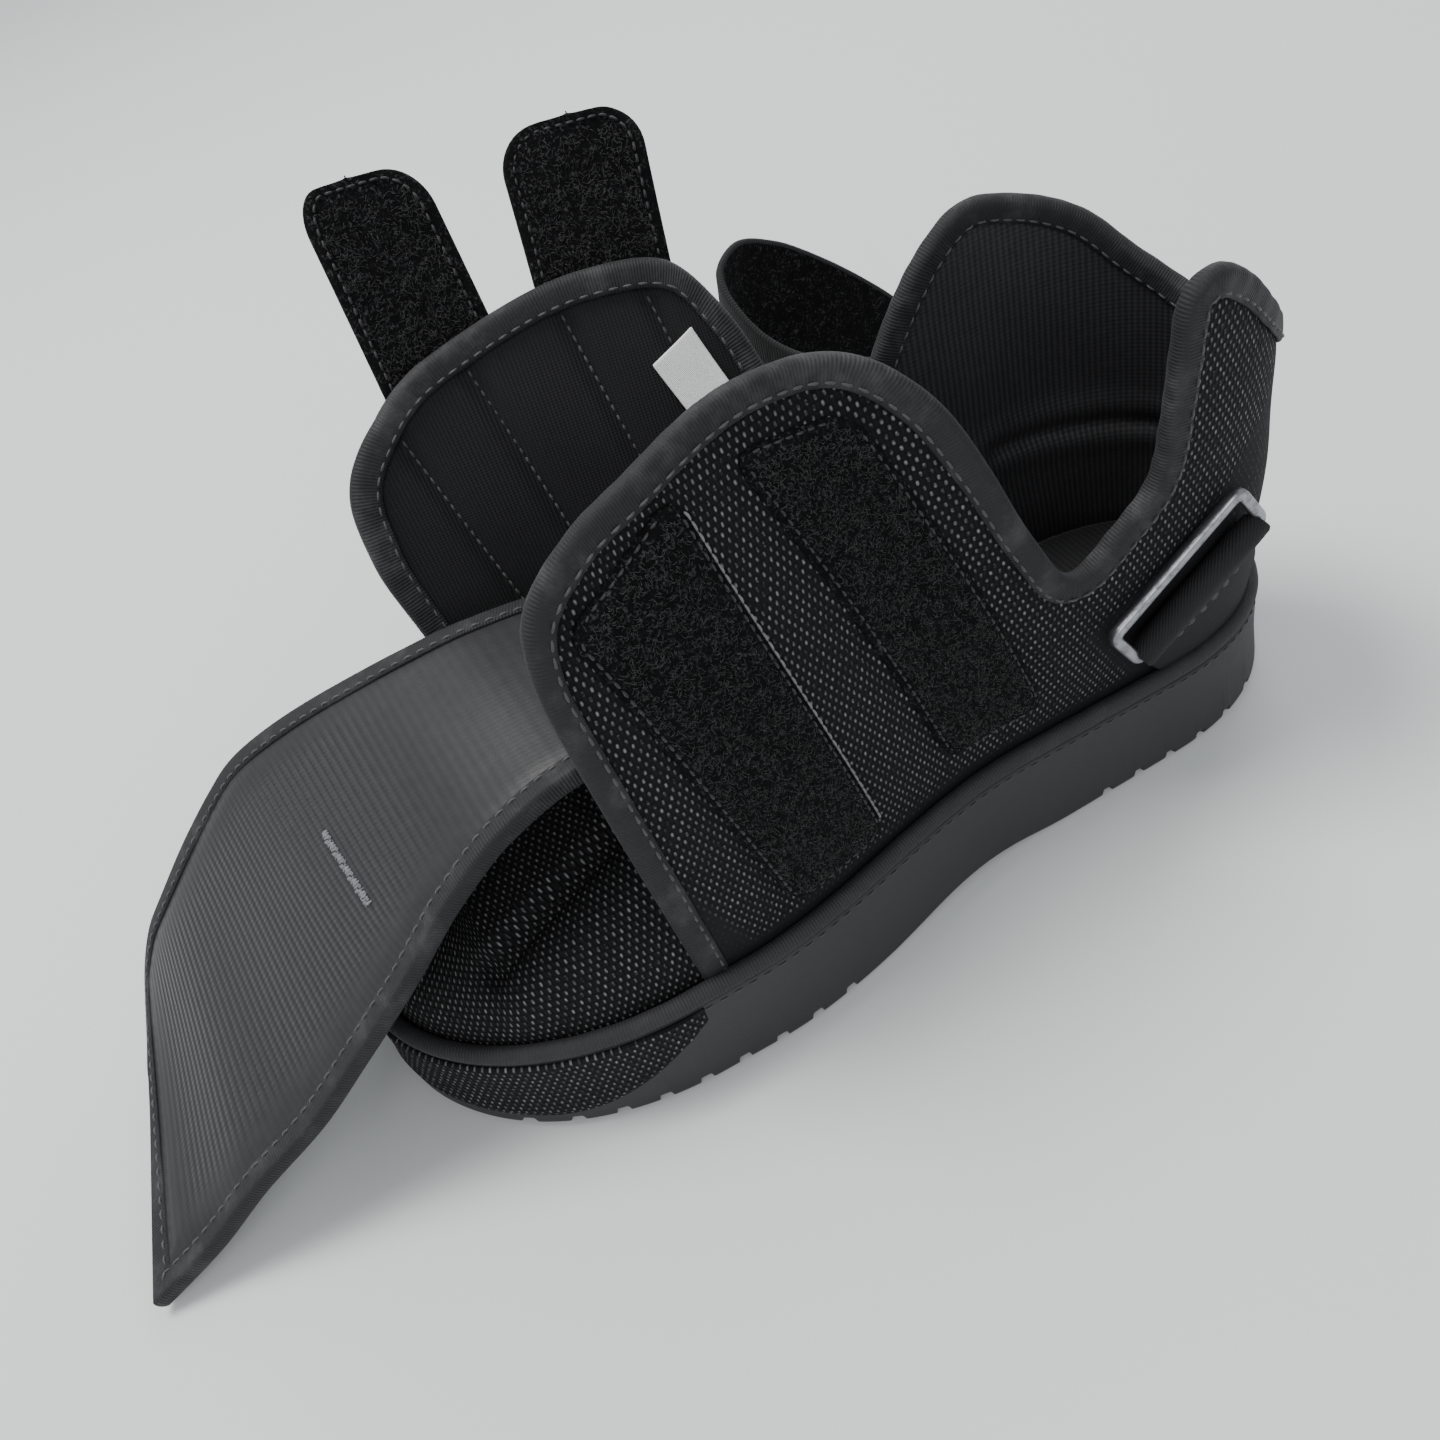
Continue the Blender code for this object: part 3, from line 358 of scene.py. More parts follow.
def slab(name, front, back, uv, rounding=3, mask=None, bulge=1.0):
    """A closed sheet between two grids, its rim a half round between the two edges.

    Faces of the front grid take the first material, the rim and back the second.
    """
    rows, columns = front.shape[:2]
    index = np.arange(rows * columns).reshape(rows, columns)
    rim = np.concatenate([index[:-1, 0], index[-1, :-1], index[:0:-1, -1], index[0, :0:-1]])
    inner = np.concatenate([index[:-1, 1], index[-2, :-1], index[:0:-1, -2], index[1, :0:-1]])
    f, b = front.reshape(-1, 3), back.reshape(-1, 3)
    away = (f[rim] - f[inner]) / np.maximum(np.linalg.norm(f[rim] - f[inner], axis=1, keepdims=True), 1e-6)
    half = np.linalg.norm(f[rim] - b[rim], axis=1, keepdims=True) / 2 * bulge
    count, total, loops = len(rim), rows * columns, [rim]
    points, coords = [f, b], [uv.reshape(-1, 2), uv.reshape(-1, 2)]
    for k in range(1, rounding + 1):
        turn = math.pi * k / (rounding + 1)
        share = (1 - math.cos(turn)) / 2
        points.append(f[rim] * (1 - share) + b[rim] * share + away * half * math.sin(turn))
        coords.append(uv.reshape(-1, 2)[rim])
        loops.append(2 * total + (k - 1) * count + np.arange(count))
    loops.append(rim + total)
    faces = [grid_faces(rows, columns), grid_faces(rows, columns, start=total)[:, ::-1]]
    for near, far in zip(loops, loops[1:]):
        faces.append(np.stack([np.roll(near, -1), near, far, np.roll(far, -1)], axis=-1))
    kinds = np.concatenate([np.zeros(len(faces[0])), np.ones(sum(len(g) for g in faces[1:]))])
    masks = None
    if mask is not None:
        flat = mask.reshape(-1)
        masks = {"plain": np.concatenate([flat, flat] + [flat[rim]] * rounding)}
    points, faces, coords = (np.concatenate(group) for group in (points, faces, coords))
    return mesh_object(name, points, faces, coords, kinds, masks)


def sweep(name, path, normal, side, profile, closed, wave=None):
    """A profile carried along a path, its two directions given at every point of the path.

    profile is a closed ring of (side, normal) offsets, and open ends are closed flat.
    """
    profile = np.asarray(profile, float)
    points = path[:, None, :] + profile[None, :, :1] * side[:, None, :]
    points = points + profile[None, :, 1:] * normal[:, None, :]
    if wave is not None:
        points = points + wave[:, None, None] * normal[:, None, :]
    uv = cloth_uv(run_along(path)[:, None], run_along(profile)[None, :])
    return mesh_object(name, points, tube_faces(*points.shape[:2], closed), uv)


def unit(vectors):
    """Vectors of length one."""
    return vectors / np.maximum(np.linalg.norm(vectors, axis=-1, keepdims=True), 1e-9)


def stitch_row(path, normal, length, gap, radius, lift=0.0):
    """Points and faces of thread stitches along a path: each is a thread that arches over the cloth.

    Each stitch has five six-sided rings that thin towards its ends, placed at even steps along the path.
    """
    run = run_along(path)
    count = max(int(run[-1] / (length + gap)), 1)
    start = (np.arange(count) + 0.15) * run[-1] / count
    t = np.array([0.0, 0.18, 0.5, 0.82, 1.0])
    where = (start[:, None] + t[None, :] * length).ravel()
    centre = np.stack([np.interp(where, run, path[:, k]) for k in range(3)], axis=-1)
    up = unit(np.stack([np.interp(where, run, normal[:, k]) for k in range(3)], axis=-1))
    ahead = np.stack([np.interp(where + 0.3, run, path[:, k]) for k in range(3)], axis=-1)
    behind = np.stack([np.interp(where - 0.3, run, path[:, k]) for k in range(3)], axis=-1)
    aside = unit(np.cross(unit(ahead - behind), up))
    arch = np.tile(np.sin(np.pi * t) * radius * 1.1 - radius * 0.5, count)
    thick = np.tile(np.array([0.35, 0.85, 1.0, 0.85, 0.35]) * radius, count)
    turn = np.arange(6) * np.pi / 3
    rings = (centre + up * (arch + lift)[:, None])[:, None, :] + thick[:, None, None] * (
        np.cos(turn)[None, :, None] * aside[:, None, :] + np.sin(turn)[None, :, None] * up[:, None, :])
    points = rings.reshape(-1, 3)
    one = [list(f) for f in grid_faces(5, 6, wrap_columns=True)]
    quads = (np.arange(count)[:, None, None] * 30 + np.array(one)[None]).reshape(-1, 4)
    ends = np.arange(count)[:, None] * 30 + np.array([list(range(6)), list(range(29, 23, -1))]).reshape(1, -1)
    return points, quads, ends.reshape(-1, 6)


def sewing(context, long=1.0, apart=1.0, thick=0.5):
    """Length, gap and thread radius of stitches, from the sizes in the sidebar."""
    sizes = context.scene.shoe_sizes
    return sizes.stitch / MM * long, sizes.stitch_gap / MM * apart, sizes.thread / MM * thick


def wall_stitches(girth, height, out, sewn, side=1, lift=0.0):
    """Stitches at a distance out from the upper's outer face, side -1 where they face inwards."""
    return stitch_row(wall_point(girth, height, out), side * wall_normal(girth, height), *sewn, lift)


def thread_object(name, rows):
    """One object from several rows of stitches."""
    points, faces, start = [], [], 0
    for p, quads, ends in rows:
        points.append(p)
        faces += (quads + start).tolist() + (ends + start).tolist()
        start += len(p)
    return mesh_object(name, np.concatenate(points), faces)


# Finishes


class Nodes:
    """A material's node tree, with short calls for the steps its pattern needs."""

    def __init__(self, name):
        old = bpy.data.materials.get(name)
        if old:
            bpy.data.materials.remove(old)
        self.material = bpy.data.materials.new(name)
        self.material.use_nodes = True
        self.tree = self.material.node_tree
        self.shader = self.tree.nodes["Principled BSDF"]

    def add(self, kind, **values):
        node = self.tree.nodes.new(kind)
        for key, value in values.items():
            setattr(node, key, value)
        return node

    def link(self, source, target):
        self.tree.links.new(source, target)

    def feed(self, socket, value):
        if isinstance(value, bpy.types.NodeSocket):
            self.link(value, socket)
        else:
            socket.default_value = value

    def math(self, operation, a, b=0.0, c=0.0, clamp=False):
        node = self.add("ShaderNodeMath", operation=operation, use_clamp=clamp)
        for socket, value in zip(node.inputs, (a, b, c)):
            self.feed(socket, value)
        return node.outputs[0]

    def coords(self, uv=True):
        if uv:
            return self.add("ShaderNodeUVMap", uv_map="cloth").outputs[0]
        return self.add("ShaderNodeTexCoord").outputs["Object"]

    def split(self, vector):
        node = self.add("ShaderNodeSeparateXYZ")
        self.link(vector, node.inputs[0])
        return node.outputs

    def noise(self, vector, scale, detail=3.0, rough=0.55):
        node = self.add("ShaderNodeTexNoise")
        self.link(vector, node.inputs["Vector"])
        node.inputs["Scale"].default_value = scale
        node.inputs["Detail"].default_value = detail
        node.inputs["Roughness"].default_value = rough
        return node.outputs["Fac"]

    def step(self, value, low, high, to_low=0.0, to_high=1.0):
        node = self.add("ShaderNodeMapRange", interpolation_type="SMOOTHSTEP")
        self.feed(node.inputs[0], value)
        for k, number in enumerate((low, high, to_low, to_high)):
            node.inputs[k + 1].default_value = number
        return node.outputs[0]

    def mix(self, factor, a, b):
        node = self.add("ShaderNodeMix", data_type="RGBA")
        self.feed(node.inputs[0], factor)
        for socket, value in ((node.inputs[6], a), (node.inputs[7], b)):
            self.feed(socket, (*value, 1.0) if isinstance(value, tuple) and len(value) == 3 else value)
        return node.outputs[2]

    def wave(self, value, pitch):
        """Sine of a coordinate in centimetres with a pitch in centimetres."""
        return self.math("SINE", self.math("MULTIPLY", value, 2 * math.pi / pitch))

    def bump(self, height, distance, strength=1.0):
        node = self.add("ShaderNodeBump")
        node.inputs["Strength"].default_value = strength
        node.inputs["Distance"].default_value = distance * MM
        self.feed(node.inputs["Height"], height)
        self.link(node.outputs[0], self.shader.inputs["Normal"])

    def finish(self, colour, roughness, sheen=0.0, sheen_rough=0.4, specular=0.5, metallic=0.0):
        self.feed(self.shader.inputs["Base Color"], (*colour, 1.0) if isinstance(colour, tuple) else colour)
        self.feed(self.shader.inputs["Roughness"], roughness)
        self.shader.inputs["Sheen Weight"].default_value = sheen
        self.shader.inputs["Sheen Roughness"].default_value = sheen_rough
        self.shader.inputs["Specular IOR Level"].default_value = specular
        self.shader.inputs["Metallic"].default_value = metallic
        return self.material


def scaled(colour, factor):
    """A colour made darker or paler."""
    return tuple(min(c * factor, 1.0) for c in colour)


def air_mesh(name, colour, fleck, pitch):
    """Open mesh: a lattice of knitted cells with pale threads at their crossings, plain where masked."""
    n = Nodes(name)
    u, v, _ = n.split(n.coords())
    a, b = n.wave(u, pitch * 0.78), n.wave(v, pitch * 1.35)
    cell = n.math("MULTIPLY", a, b)
    uneven = n.noise(n.coords(), 7.0, 2.0)
    thread = n.math("ABSOLUTE", cell)
    pale = n.math("MULTIPLY", n.step(cell, 0.28, 0.90), n.step(uneven, 0.30, 0.70))
    hole = n.step(thread, 0.05, 0.5)
    plain = n.add("ShaderNodeAttribute", attribute_name="plain").outputs["Fac"]
    woven = n.math("SUBTRACT", 1.0, plain, clamp=True)
    # The openings between the threads are painted darker: painted shade in the holes of the mesh.
    ground = n.mix(hole, scaled(colour, 0.35), colour)
    flecked = n.mix(n.math("MULTIPLY", pale, 0.9), ground, fleck)
    n.bump(n.math("ADD", n.math("MULTIPLY", n.math("MULTIPLY", cell, 0.8), woven),
                  n.math("MULTIPLY", n.noise(n.coords(), 60.0, 2.0), 0.35)), 0.55, 0.8)
    return n.finish(n.mix(plain, flecked, scaled(colour, 1.6)), n.step(pale, 0, 1, 0.9, 0.5), specular=0.25)


def ribbed(name, colour, pitch, along_u=False, sheen=0.25, rough=0.55, masked=False):
    """Fine ribbed cloth with a soft gloss, slightly uneven from rib to rib."""
    n = Nodes(name)
    u, v, _ = n.split(n.coords())
    rib = n.wave(u if along_u else v, pitch)
    cross = n.wave(v if along_u else u, pitch * 0.7)
    uneven = n.noise(n.coords(), 3.0, 4.0)
    height = n.math("ADD", n.math("MULTIPLY", rib, 0.5), n.math("MULTIPLY", cross, 0.16))
    if masked:
        plain = n.add("ShaderNodeAttribute", attribute_name="plain").outputs["Fac"]
        woven = n.math("SUBTRACT", 1.0, n.math("MULTIPLY", plain, 0.8))
        rib, height = n.math("MULTIPLY", rib, woven), n.math("MULTIPLY", height, woven)
    # Colour follows the ribs: painted highlight on the crests and painted shade in the grooves, mixed with
    # random unevenness.
    tone = n.step(n.math("ADD", rib, n.math("MULTIPLY", uneven, 1.6)), -0.6, 2.2)
    n.bump(n.math("ADD", height, n.math("MULTIPLY", n.noise(n.coords(), 30.0), 0.3)), 0.22, 0.6)
    return n.finish(n.mix(tone, scaled(colour, 0.6), scaled(colour, 1.4)), rough, sheen=sheen, specular=0.35)


def tape(name, colour, worn):
    """Folded knit tape with fine cross ribs, worn paler in patches."""
    n = Nodes(name)
    u, v, _ = n.split(n.coords())
    rib = n.wave(u, 0.075)
    # Paler patches in random places: partly rubbed wear, partly painted highlight.
    highlight_and_wear_patch = n.step(n.noise(n.coords(False), 90.0, 5.0, 0.65), 0.46, 0.74)
    n.bump(n.math("ADD", n.math("MULTIPLY", rib, 0.35), n.noise(n.coords(False), 900.0, 2.0)), 0.22, 0.7)
    return n.finish(n.mix(n.math("MULTIPLY", highlight_and_wear_patch, 0.8), colour, worn), 0.72, sheen=0.03, specular=0.35)


def pile(name, colour, speck):
    """Loop pile: dense curled fibres, nearly black, a few catching the light."""
    n = Nodes(name)
    place = n.coords(False)
    fine, coarse = n.noise(place, 1500.0, 3.0, 0.7), n.noise(place, 380.0, 3.0)
    glint = n.math("MULTIPLY", n.step(fine, 0.50, 0.66), n.step(coarse, 0.36, 0.62))
    n.bump(n.math("ADD", coarse, fine), 0.6, 0.8)
    return n.finish(n.mix(glint, colour, speck), 0.95, specular=0.12)


def foam_rubber(name, colour):
    """Moulded foam rubber, matt, with a fine grain and slightly dusty high spots."""
    n = Nodes(name)
    place = n.coords(False)
    grain, cloud = n.noise(place, 1400.0, 3.0), n.noise(place, 28.0, 5.0, 0.6)
    n.bump(n.math("ADD", grain, n.math("MULTIPLY", n.noise(place, 260.0), 0.8)), 0.16, 0.55)
    tone = n.mix(n.step(cloud, 0.30, 0.72), scaled(colour, 0.78), scaled(colour, 1.22))
    return n.finish(tone, n.step(cloud, 0.3, 0.75, 0.52, 0.68))


def thread(name, colour):
    """Sewing thread or a single fibre, uneven along its length."""
    n = Nodes(name)
    n.bump(n.noise(n.coords(False), 2500.0), 0.1)
    tone = n.mix(n.noise(n.coords(False), 500.0), scaled(colour, 0.7), scaled(colour, 1.3))
    return n.finish(tone, 0.6, sheen=0.2)


def worn_steel(name, colour):
    """Bright wire with fine scratches and dull patches."""
    n = Nodes(name)
    place = n.coords(False)
    dull = n.noise(place, 420.0, 4.0, 0.6)
    n.bump(n.noise(place, 2200.0), 0.03, 0.5)
    tone = n.mix(n.step(dull, 0.4, 0.7), colour, scaled(colour, 0.6))
    return n.finish(tone, n.step(dull, 0.35, 0.7, 0.30, 0.5), metallic=1.0)


def satin_label(name, colour):
    """White satin tape with a fine weave."""
    n = Nodes(name)
    u, v, _ = n.split(n.coords())
    n.bump(n.math("ADD", n.wave(u, 0.05), n.wave(v, 0.03)), 0.06, 0.5)
    return n.finish(n.mix(n.noise(n.coords(), 2.0), scaled(colour, 0.86), colour), 0.5, sheen=0.2)


FINISHES = {}


def finishes(context):
    """Make every finish once from the sizes and colours in the sidebar."""
    if not FINISHES:
        sizes, hue = context.scene.shoe_sizes, context.scene.shoe_colours
        get = lambda name: tuple(getattr(hue, name))
        FINISHES.update(
            mesh=air_mesh("air_mesh", get("mesh"), get("mesh_fleck"), sizes.mesh_pitch * 100),
            lining=ribbed("ribbed_lining", get("lining"), sizes.rib_pitch * 100, along_u=True, sheen=0.04),
            tongue=ribbed("tongue_lining", scaled(get("lining"), 0.8), 0.19, sheen=0.07, rough=0.42,
                          masked=True),
            flap_lining=ribbed("flap_lining", scaled(get("mesh"), 1.1), 0.09, along_u=True, sheen=0.02,
                               rough=0.8),
            tape=tape("edge_tape", get("tape"), get("tape_worn")),
            piping=tape("piping_tape", get("piping"), scaled(get("piping"), 1.5)),
            pile=pile("loop_pile", get("pile"), get("pile_glint")),
            webbing=ribbed("webbing_cloth", get("webbing"), 0.07, along_u=True, sheen=0.0, rough=0.8),
            rubber=foam_rubber("foam_rubber", get("rubber")),
            thread=thread("dark_thread", get("thread")),
            tack=thread("pale_tack", scaled(get("pale_thread"), 3.5)),
            fibre=thread("loop_fibre", scaled(get("pile_glint"), 0.22)),
            # Stitches on the tape, tongue, quilting and webbing take the paler thread, which is partly a
            # painted highlight.
            pale_thread=thread("grey_thread", get("pale_thread")),
            steel=worn_steel("ring_steel", get("steel")),
            label=satin_label("label_satin", get("label")),
            insole=ribbed("insole_knit", scaled(get("lining"), 0.6), 0.16, sheen=0.1, rough=0.85),
        )
    return FINISHES


def dress(thing, body, slot, *materials, replaces=()):
    """Give a piece its finishes, its body and the nodes that it stands for."""
    for material in materials:
        thing.data.materials.append(material)
    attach(thing, body)
    if replaces:
        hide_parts(*replaces)
    return thing


def colour_prop(name, description, value):
    """A colour in the sidebar."""
    return FloatVectorProperty(name=name, description=description, default=value, subtype="COLOR",
                               min=0, max=1)


def length_prop(name, description, value):
    """A length in the sidebar."""
    return FloatProperty(name=name, description=description, default=value, min=0, subtype="DISTANCE")


class ShoeSizes(bpy.types.PropertyGroup):
    """Sizes of the cloth's make and of the stitching."""
    mesh_pitch: length_prop("Mesh pitch", "Distance between the mesh's knitted cells", 0.0024)
    rib_pitch: length_prop("Rib pitch", "Distance between the lining's ribs", 0.0016)
    stitch: length_prop("Stitch", "Length of one stitch", 0.0024)
    stitch_gap: length_prop("Stitch gap", "Space between two stitches", 0.0011)
    thread: length_prop("Thread", "Thickness of the sewing thread", 0.0006)
    puff: length_prop("Puff", "How far the padded cloth swells between its seams", 0.0010)
    tape_width: length_prop("Tape width", "Width of the folded edge tape on each face", 0.0048)


class ShoeColours(bpy.types.PropertyGroup):
    """Colours of the cloth, rubber, thread and metal."""
    mesh: colour_prop("Mesh", "Ground of the air mesh", (0.0045, 0.0045, 0.0055))
    mesh_fleck: colour_prop("Mesh fleck", "Pale threads of the air mesh", (0.20, 0.20, 0.21))
    lining: colour_prop("Lining", "Ribbed lining", (0.022, 0.022, 0.024))
    tape: colour_prop("Tape", "Edge tape", (0.010, 0.010, 0.0115))
    # Paler patches of the edge tape: partly rubbed wear, partly painted highlight.
    tape_worn: colour_prop("Worn tape", "Edge tape where it is rubbed", (0.040, 0.040, 0.042))
    piping: colour_prop("Piping", "Cloth roll round the sole", (0.019, 0.019, 0.021))
    pile: colour_prop("Pile", "Loop pile of bands and straps", (0.0025, 0.0025, 0.003))
    pile_glint: colour_prop("Pile glint", "Loop fibres that catch the light", (0.045, 0.045, 0.047))
    webbing: colour_prop("Webbing", "Flat webbing", (0.008, 0.008, 0.009))
    rubber: colour_prop("Rubber", "Foam rubber of the sole", (0.018, 0.0184, 0.020))
    thread: colour_prop("Thread", "Sewing thread", (0.014, 0.014, 0.016))
    # Paler stitch thread: partly the thread's own colour, partly painted highlight on the stitches.
    pale_thread: colour_prop("Pale thread", "Rubbed sewing thread", (0.042, 0.042, 0.045))
    steel: colour_prop("Steel", "Wire of the ring", (0.34, 0.34, 0.36))
    label: colour_prop("Label", "Sewn label", (0.80, 0.80, 0.80))
    floor: colour_prop("Floor", "Pale floor", (0.62, 0.64, 0.64))


# Pieces


def tread_grooves():
    """Stations of the cross grooves under the heel and the forefoot."""
    grooves = []
    for seat, low, high in ((HEEL_SEAT, 0.045, 0.30), (BALL_SEAT, 0.57, 0.955)):
        reach = int(LENGTH / TREAD_PITCH)
        places = [seat * LENGTH + (k + 0.5) * TREAD_PITCH for k in range(-reach, reach)]
        grooves += [place for place in places if low * LENGTH < place < high * LENGTH]
    return np.array(grooves)


def sole_side(station):
    """Height of the tread's edge and of the sole's top at stations."""
    groove = np.min(np.abs(tread_grooves()[None, :] - station[:, None]), axis=1)
    cut = TREAD_DEPTH * smooth((TREAD_GROOVE / 2 - groove) / 0.5 + 0.5)
    return sole_bottom(station) + cut, sole_top(station)


def sole_grid():
    """Cross sections of the sole from heel to toe: tread, rounded edges, flared side and top.

    The side's inset follows its height: it rounds over at the tread and at the top, flares out
    towards the floor and hollows a little in the middle.
    """
    grooves = tread_grooves()
    marks = (grooves[:, None] + np.array([-2.1, -1.7, -1.4, -1.1, 0.0, 1.1, 1.4, 1.7, 2.1])).ravel()
    plain = LENGTH * (1 - np.cos(np.linspace(0.004, 0.996, 190) * np.pi)) / 2
    far = np.min(np.abs(plain[:, None] - grooves[None, :]), axis=1) > 2.3
    station = np.sort(np.concatenate([plain[far], marks]))
    low, top = sole_side(station)
    t = np.concatenate([np.linspace(0, 1, 6)[:-1] * 0.09, np.linspace(0.09, 0.94, 13), [0.965, 0.985, 1.0]])
    height = low[:, None] + (top - low)[:, None] * t
    foot = np.sqrt(np.clip(1 - np.clip(1 - t / 0.075, 0, 1) ** 2, 0, 1))
    rim = np.sqrt(np.clip(1 - np.clip((t - 0.955) / 0.045, 0, 1) ** 2, 0, 1))
    inset = -SOLE_FLARE * (1 - t) + 1.5 * (1 - foot) + 1.0 * (1 - rim) + 0.35 * np.sin(np.pi * t) ** 2
    sides = []
    for side in (1, -1):
        girth = girth_of(station / LENGTH, side)
        across, along = edge_point(girth[:, None], inset[None, :])
        sides.append(to_world(across, along, height))
    near, far_side = sides
    s = np.linspace(0, 1, 14)[None, 1:-1, None]
    bottom = far_side[:, :1] * (1 - s) + near[:, :1] * s
    lid = near[:, -1:] * (1 - s) + far_side[:, -1:] * s
    return np.concatenate([near, lid, far_side[:, ::-1], bottom], axis=1)


def build_sole(context):
    """The sole's cross sections joined into one closed body, and the mesh that wraps its front."""
    points = sole_grid()
    sole = mesh_object("foam_sole", points, tube_faces(*points.shape[:2]))
    dress(sole, "shoe", "sole_rubber", finishes(context)["rubber"], replaces=["sole"])
    # The mesh that wraps the sole's front, thinning out at its lower edge and rear ends.
    share = np.linspace(0, 1, 260)
    start, end = girth_of(0.74, 1), girth_of(0.74, -1)
    girth = start + (2 * GIRTH[-1] + end - start) * share
    girth = np.where(girth > GIRTH[-1], girth - 2 * GIRTH[-1], girth)
    _, station = edge_point(girth, 0.0)
    rear = np.clip((np.abs(share - 0.5) * 2 - 0.55) / 0.45, 0, 1)
    low = sole_bottom(station) + 4.5 + 17 * rear ** 2
    t = np.linspace(0, 1, 24)[None, :]
    height = low[:, None] + (sole_top(station) - 0.2 - low)[:, None] * t
    edge = np.minimum(smooth(t / 0.12), smooth(np.minimum(share, 1 - share)[:, None] / 0.03))
    tall = (sole_top(station) - sole_bottom(station))[:, None]
    v = (height - sole_bottom(station)[:, None]) / tall
    hollow = -SOLE_FLARE * (1 - v) + 0.35 * np.sin(np.pi * v) ** 2
    lift = 0.2 + 0.75 * edge + 0.12 * ripple(share[:, None] * 200, height, 22, 3)
    outer = to_world(*edge_point(girth[:, None], hollow - lift), height)
    inner = to_world(*edge_point(girth[:, None], hollow + 0.3), height)
    uv = cloth_uv(share[:, None] * (2 * GIRTH[-1] + end - start), height)
    wrap = slab("toe_wrap", outer, inner, uv, rounding=1, mask=np.zeros(uv.shape[:2]))
    dress(wrap, "shoe", "mesh_cloth", *[finishes(context)["mesh"]] * 2)


def build_piping(context):
    """A tube round the sole's top whose roundness is slightly flattened, with small gathers."""
    girth = np.linspace(GIRTH[0], GIRTH[-1], 520, endpoint=False)
    path_x, path_s = edge_point(girth, PIPING_RADIUS - PIPING_PROUD)
    path = to_world(path_x, path_s, sole_top(path_s) + GAP + PIPING_RADIUS)
    out_x, out_s = edge_normal(girth)
    side = np.stack([out_x, -out_s, np.zeros_like(out_x)], axis=-1)
    normal = np.broadcast_to(np.array([0.0, 0.0, 1.0]), side.shape)
    turn = np.linspace(0, 2 * np.pi, 18, endpoint=False)
    reach = PIPING_RADIUS * 1.02
    profile = np.stack([reach * np.cos(turn), (reach + 0.25) * np.sin(turn)], axis=1)
    roll = sweep("sole_piping", path, normal, side, profile, True, 0.05 * np.sin(girth / 1.9))
    dress(roll, "shoe", "piping_cloth", finishes(context)["piping"], replaces=["piping"])
    seam = to_world(*edge_point(girth, 0.05), sole_top(path_s) - 0.9)
    seam, side = (np.vstack([line, line[:1]]) for line in (seam, side))
    row = stitch_row(seam, side, *sewing(context, 1.1, 1.0, 0.4))
    dress(thread_object("piping_stitches", [row]), "shoe", "piping_cloth", finishes(context)["thread"])


def wall_relief(girth, height, below_top, puff):
    """Swell of the padded wall's outer face: soft uneven puff, drawn in at the tape and at the bands."""
    relief = puff * 0.45 * ripple(girth, height, 42, 1)
    relief = relief - 0.55 * puff * np.exp(-(below_top / 6.0) ** 2)
    for foot, tip, _ in BANDS.values():
        ends = [(girth_of(st, 1), sole_top(st * LENGTH) + share * OUTER_FLAP_HEIGHT)
                for st, share in (foot, tip)]
        for shift in (-1, 1):
            moved = [(g + shift * (BAND_WIDTH / 2 + 1.2), h) for g, h in ends]
            relief = relief - 0.7 * puff * np.exp(-(segment_distance(girth, height, *moved) / 2.2) ** 2)
    return relief * smooth((height - 30) / 12)


def lining_relief(girth, height, below_top, puff):
    """Swell of the lining: channels sewn down the inner flap, a padded seam round the heel."""
    relief = puff * 0.5 * ripple(girth, height, 36, 2)
    for (s0, h0), (s1, h1) in FLAP_CHANNELS:
        line = (girth_of(s0, -1), h0), (girth_of(s1, -1), h1)
        relief = relief + 1.5 * puff * np.exp(-(segment_distance(girth, height, *line) / 2.0) ** 2)
    seam = segment_distance(girth, height, (girth_of(0.185, -1), 60.0), (girth_of(0.02, -1), 57.0))
    relief = relief + 1.3 * puff * np.exp(-(seam / 1.8) ** 2) - 0.9 * puff * np.exp(-((seam - 5) / 3.5) ** 2)
    return relief * smooth((height - 30) / 10) + 0.4 * puff * np.exp(-(below_top / 5.0) ** 2)


def ring_seat():
    """Girth and height of the two ends of the line on the wall that the ring's inner bar lies along."""
    return [np.array([girth_of(at, 1), sole_top(at * LENGTH) + share * WING_HEIGHT])
            for at, share in (RING_LOW, RING_HIGH)]


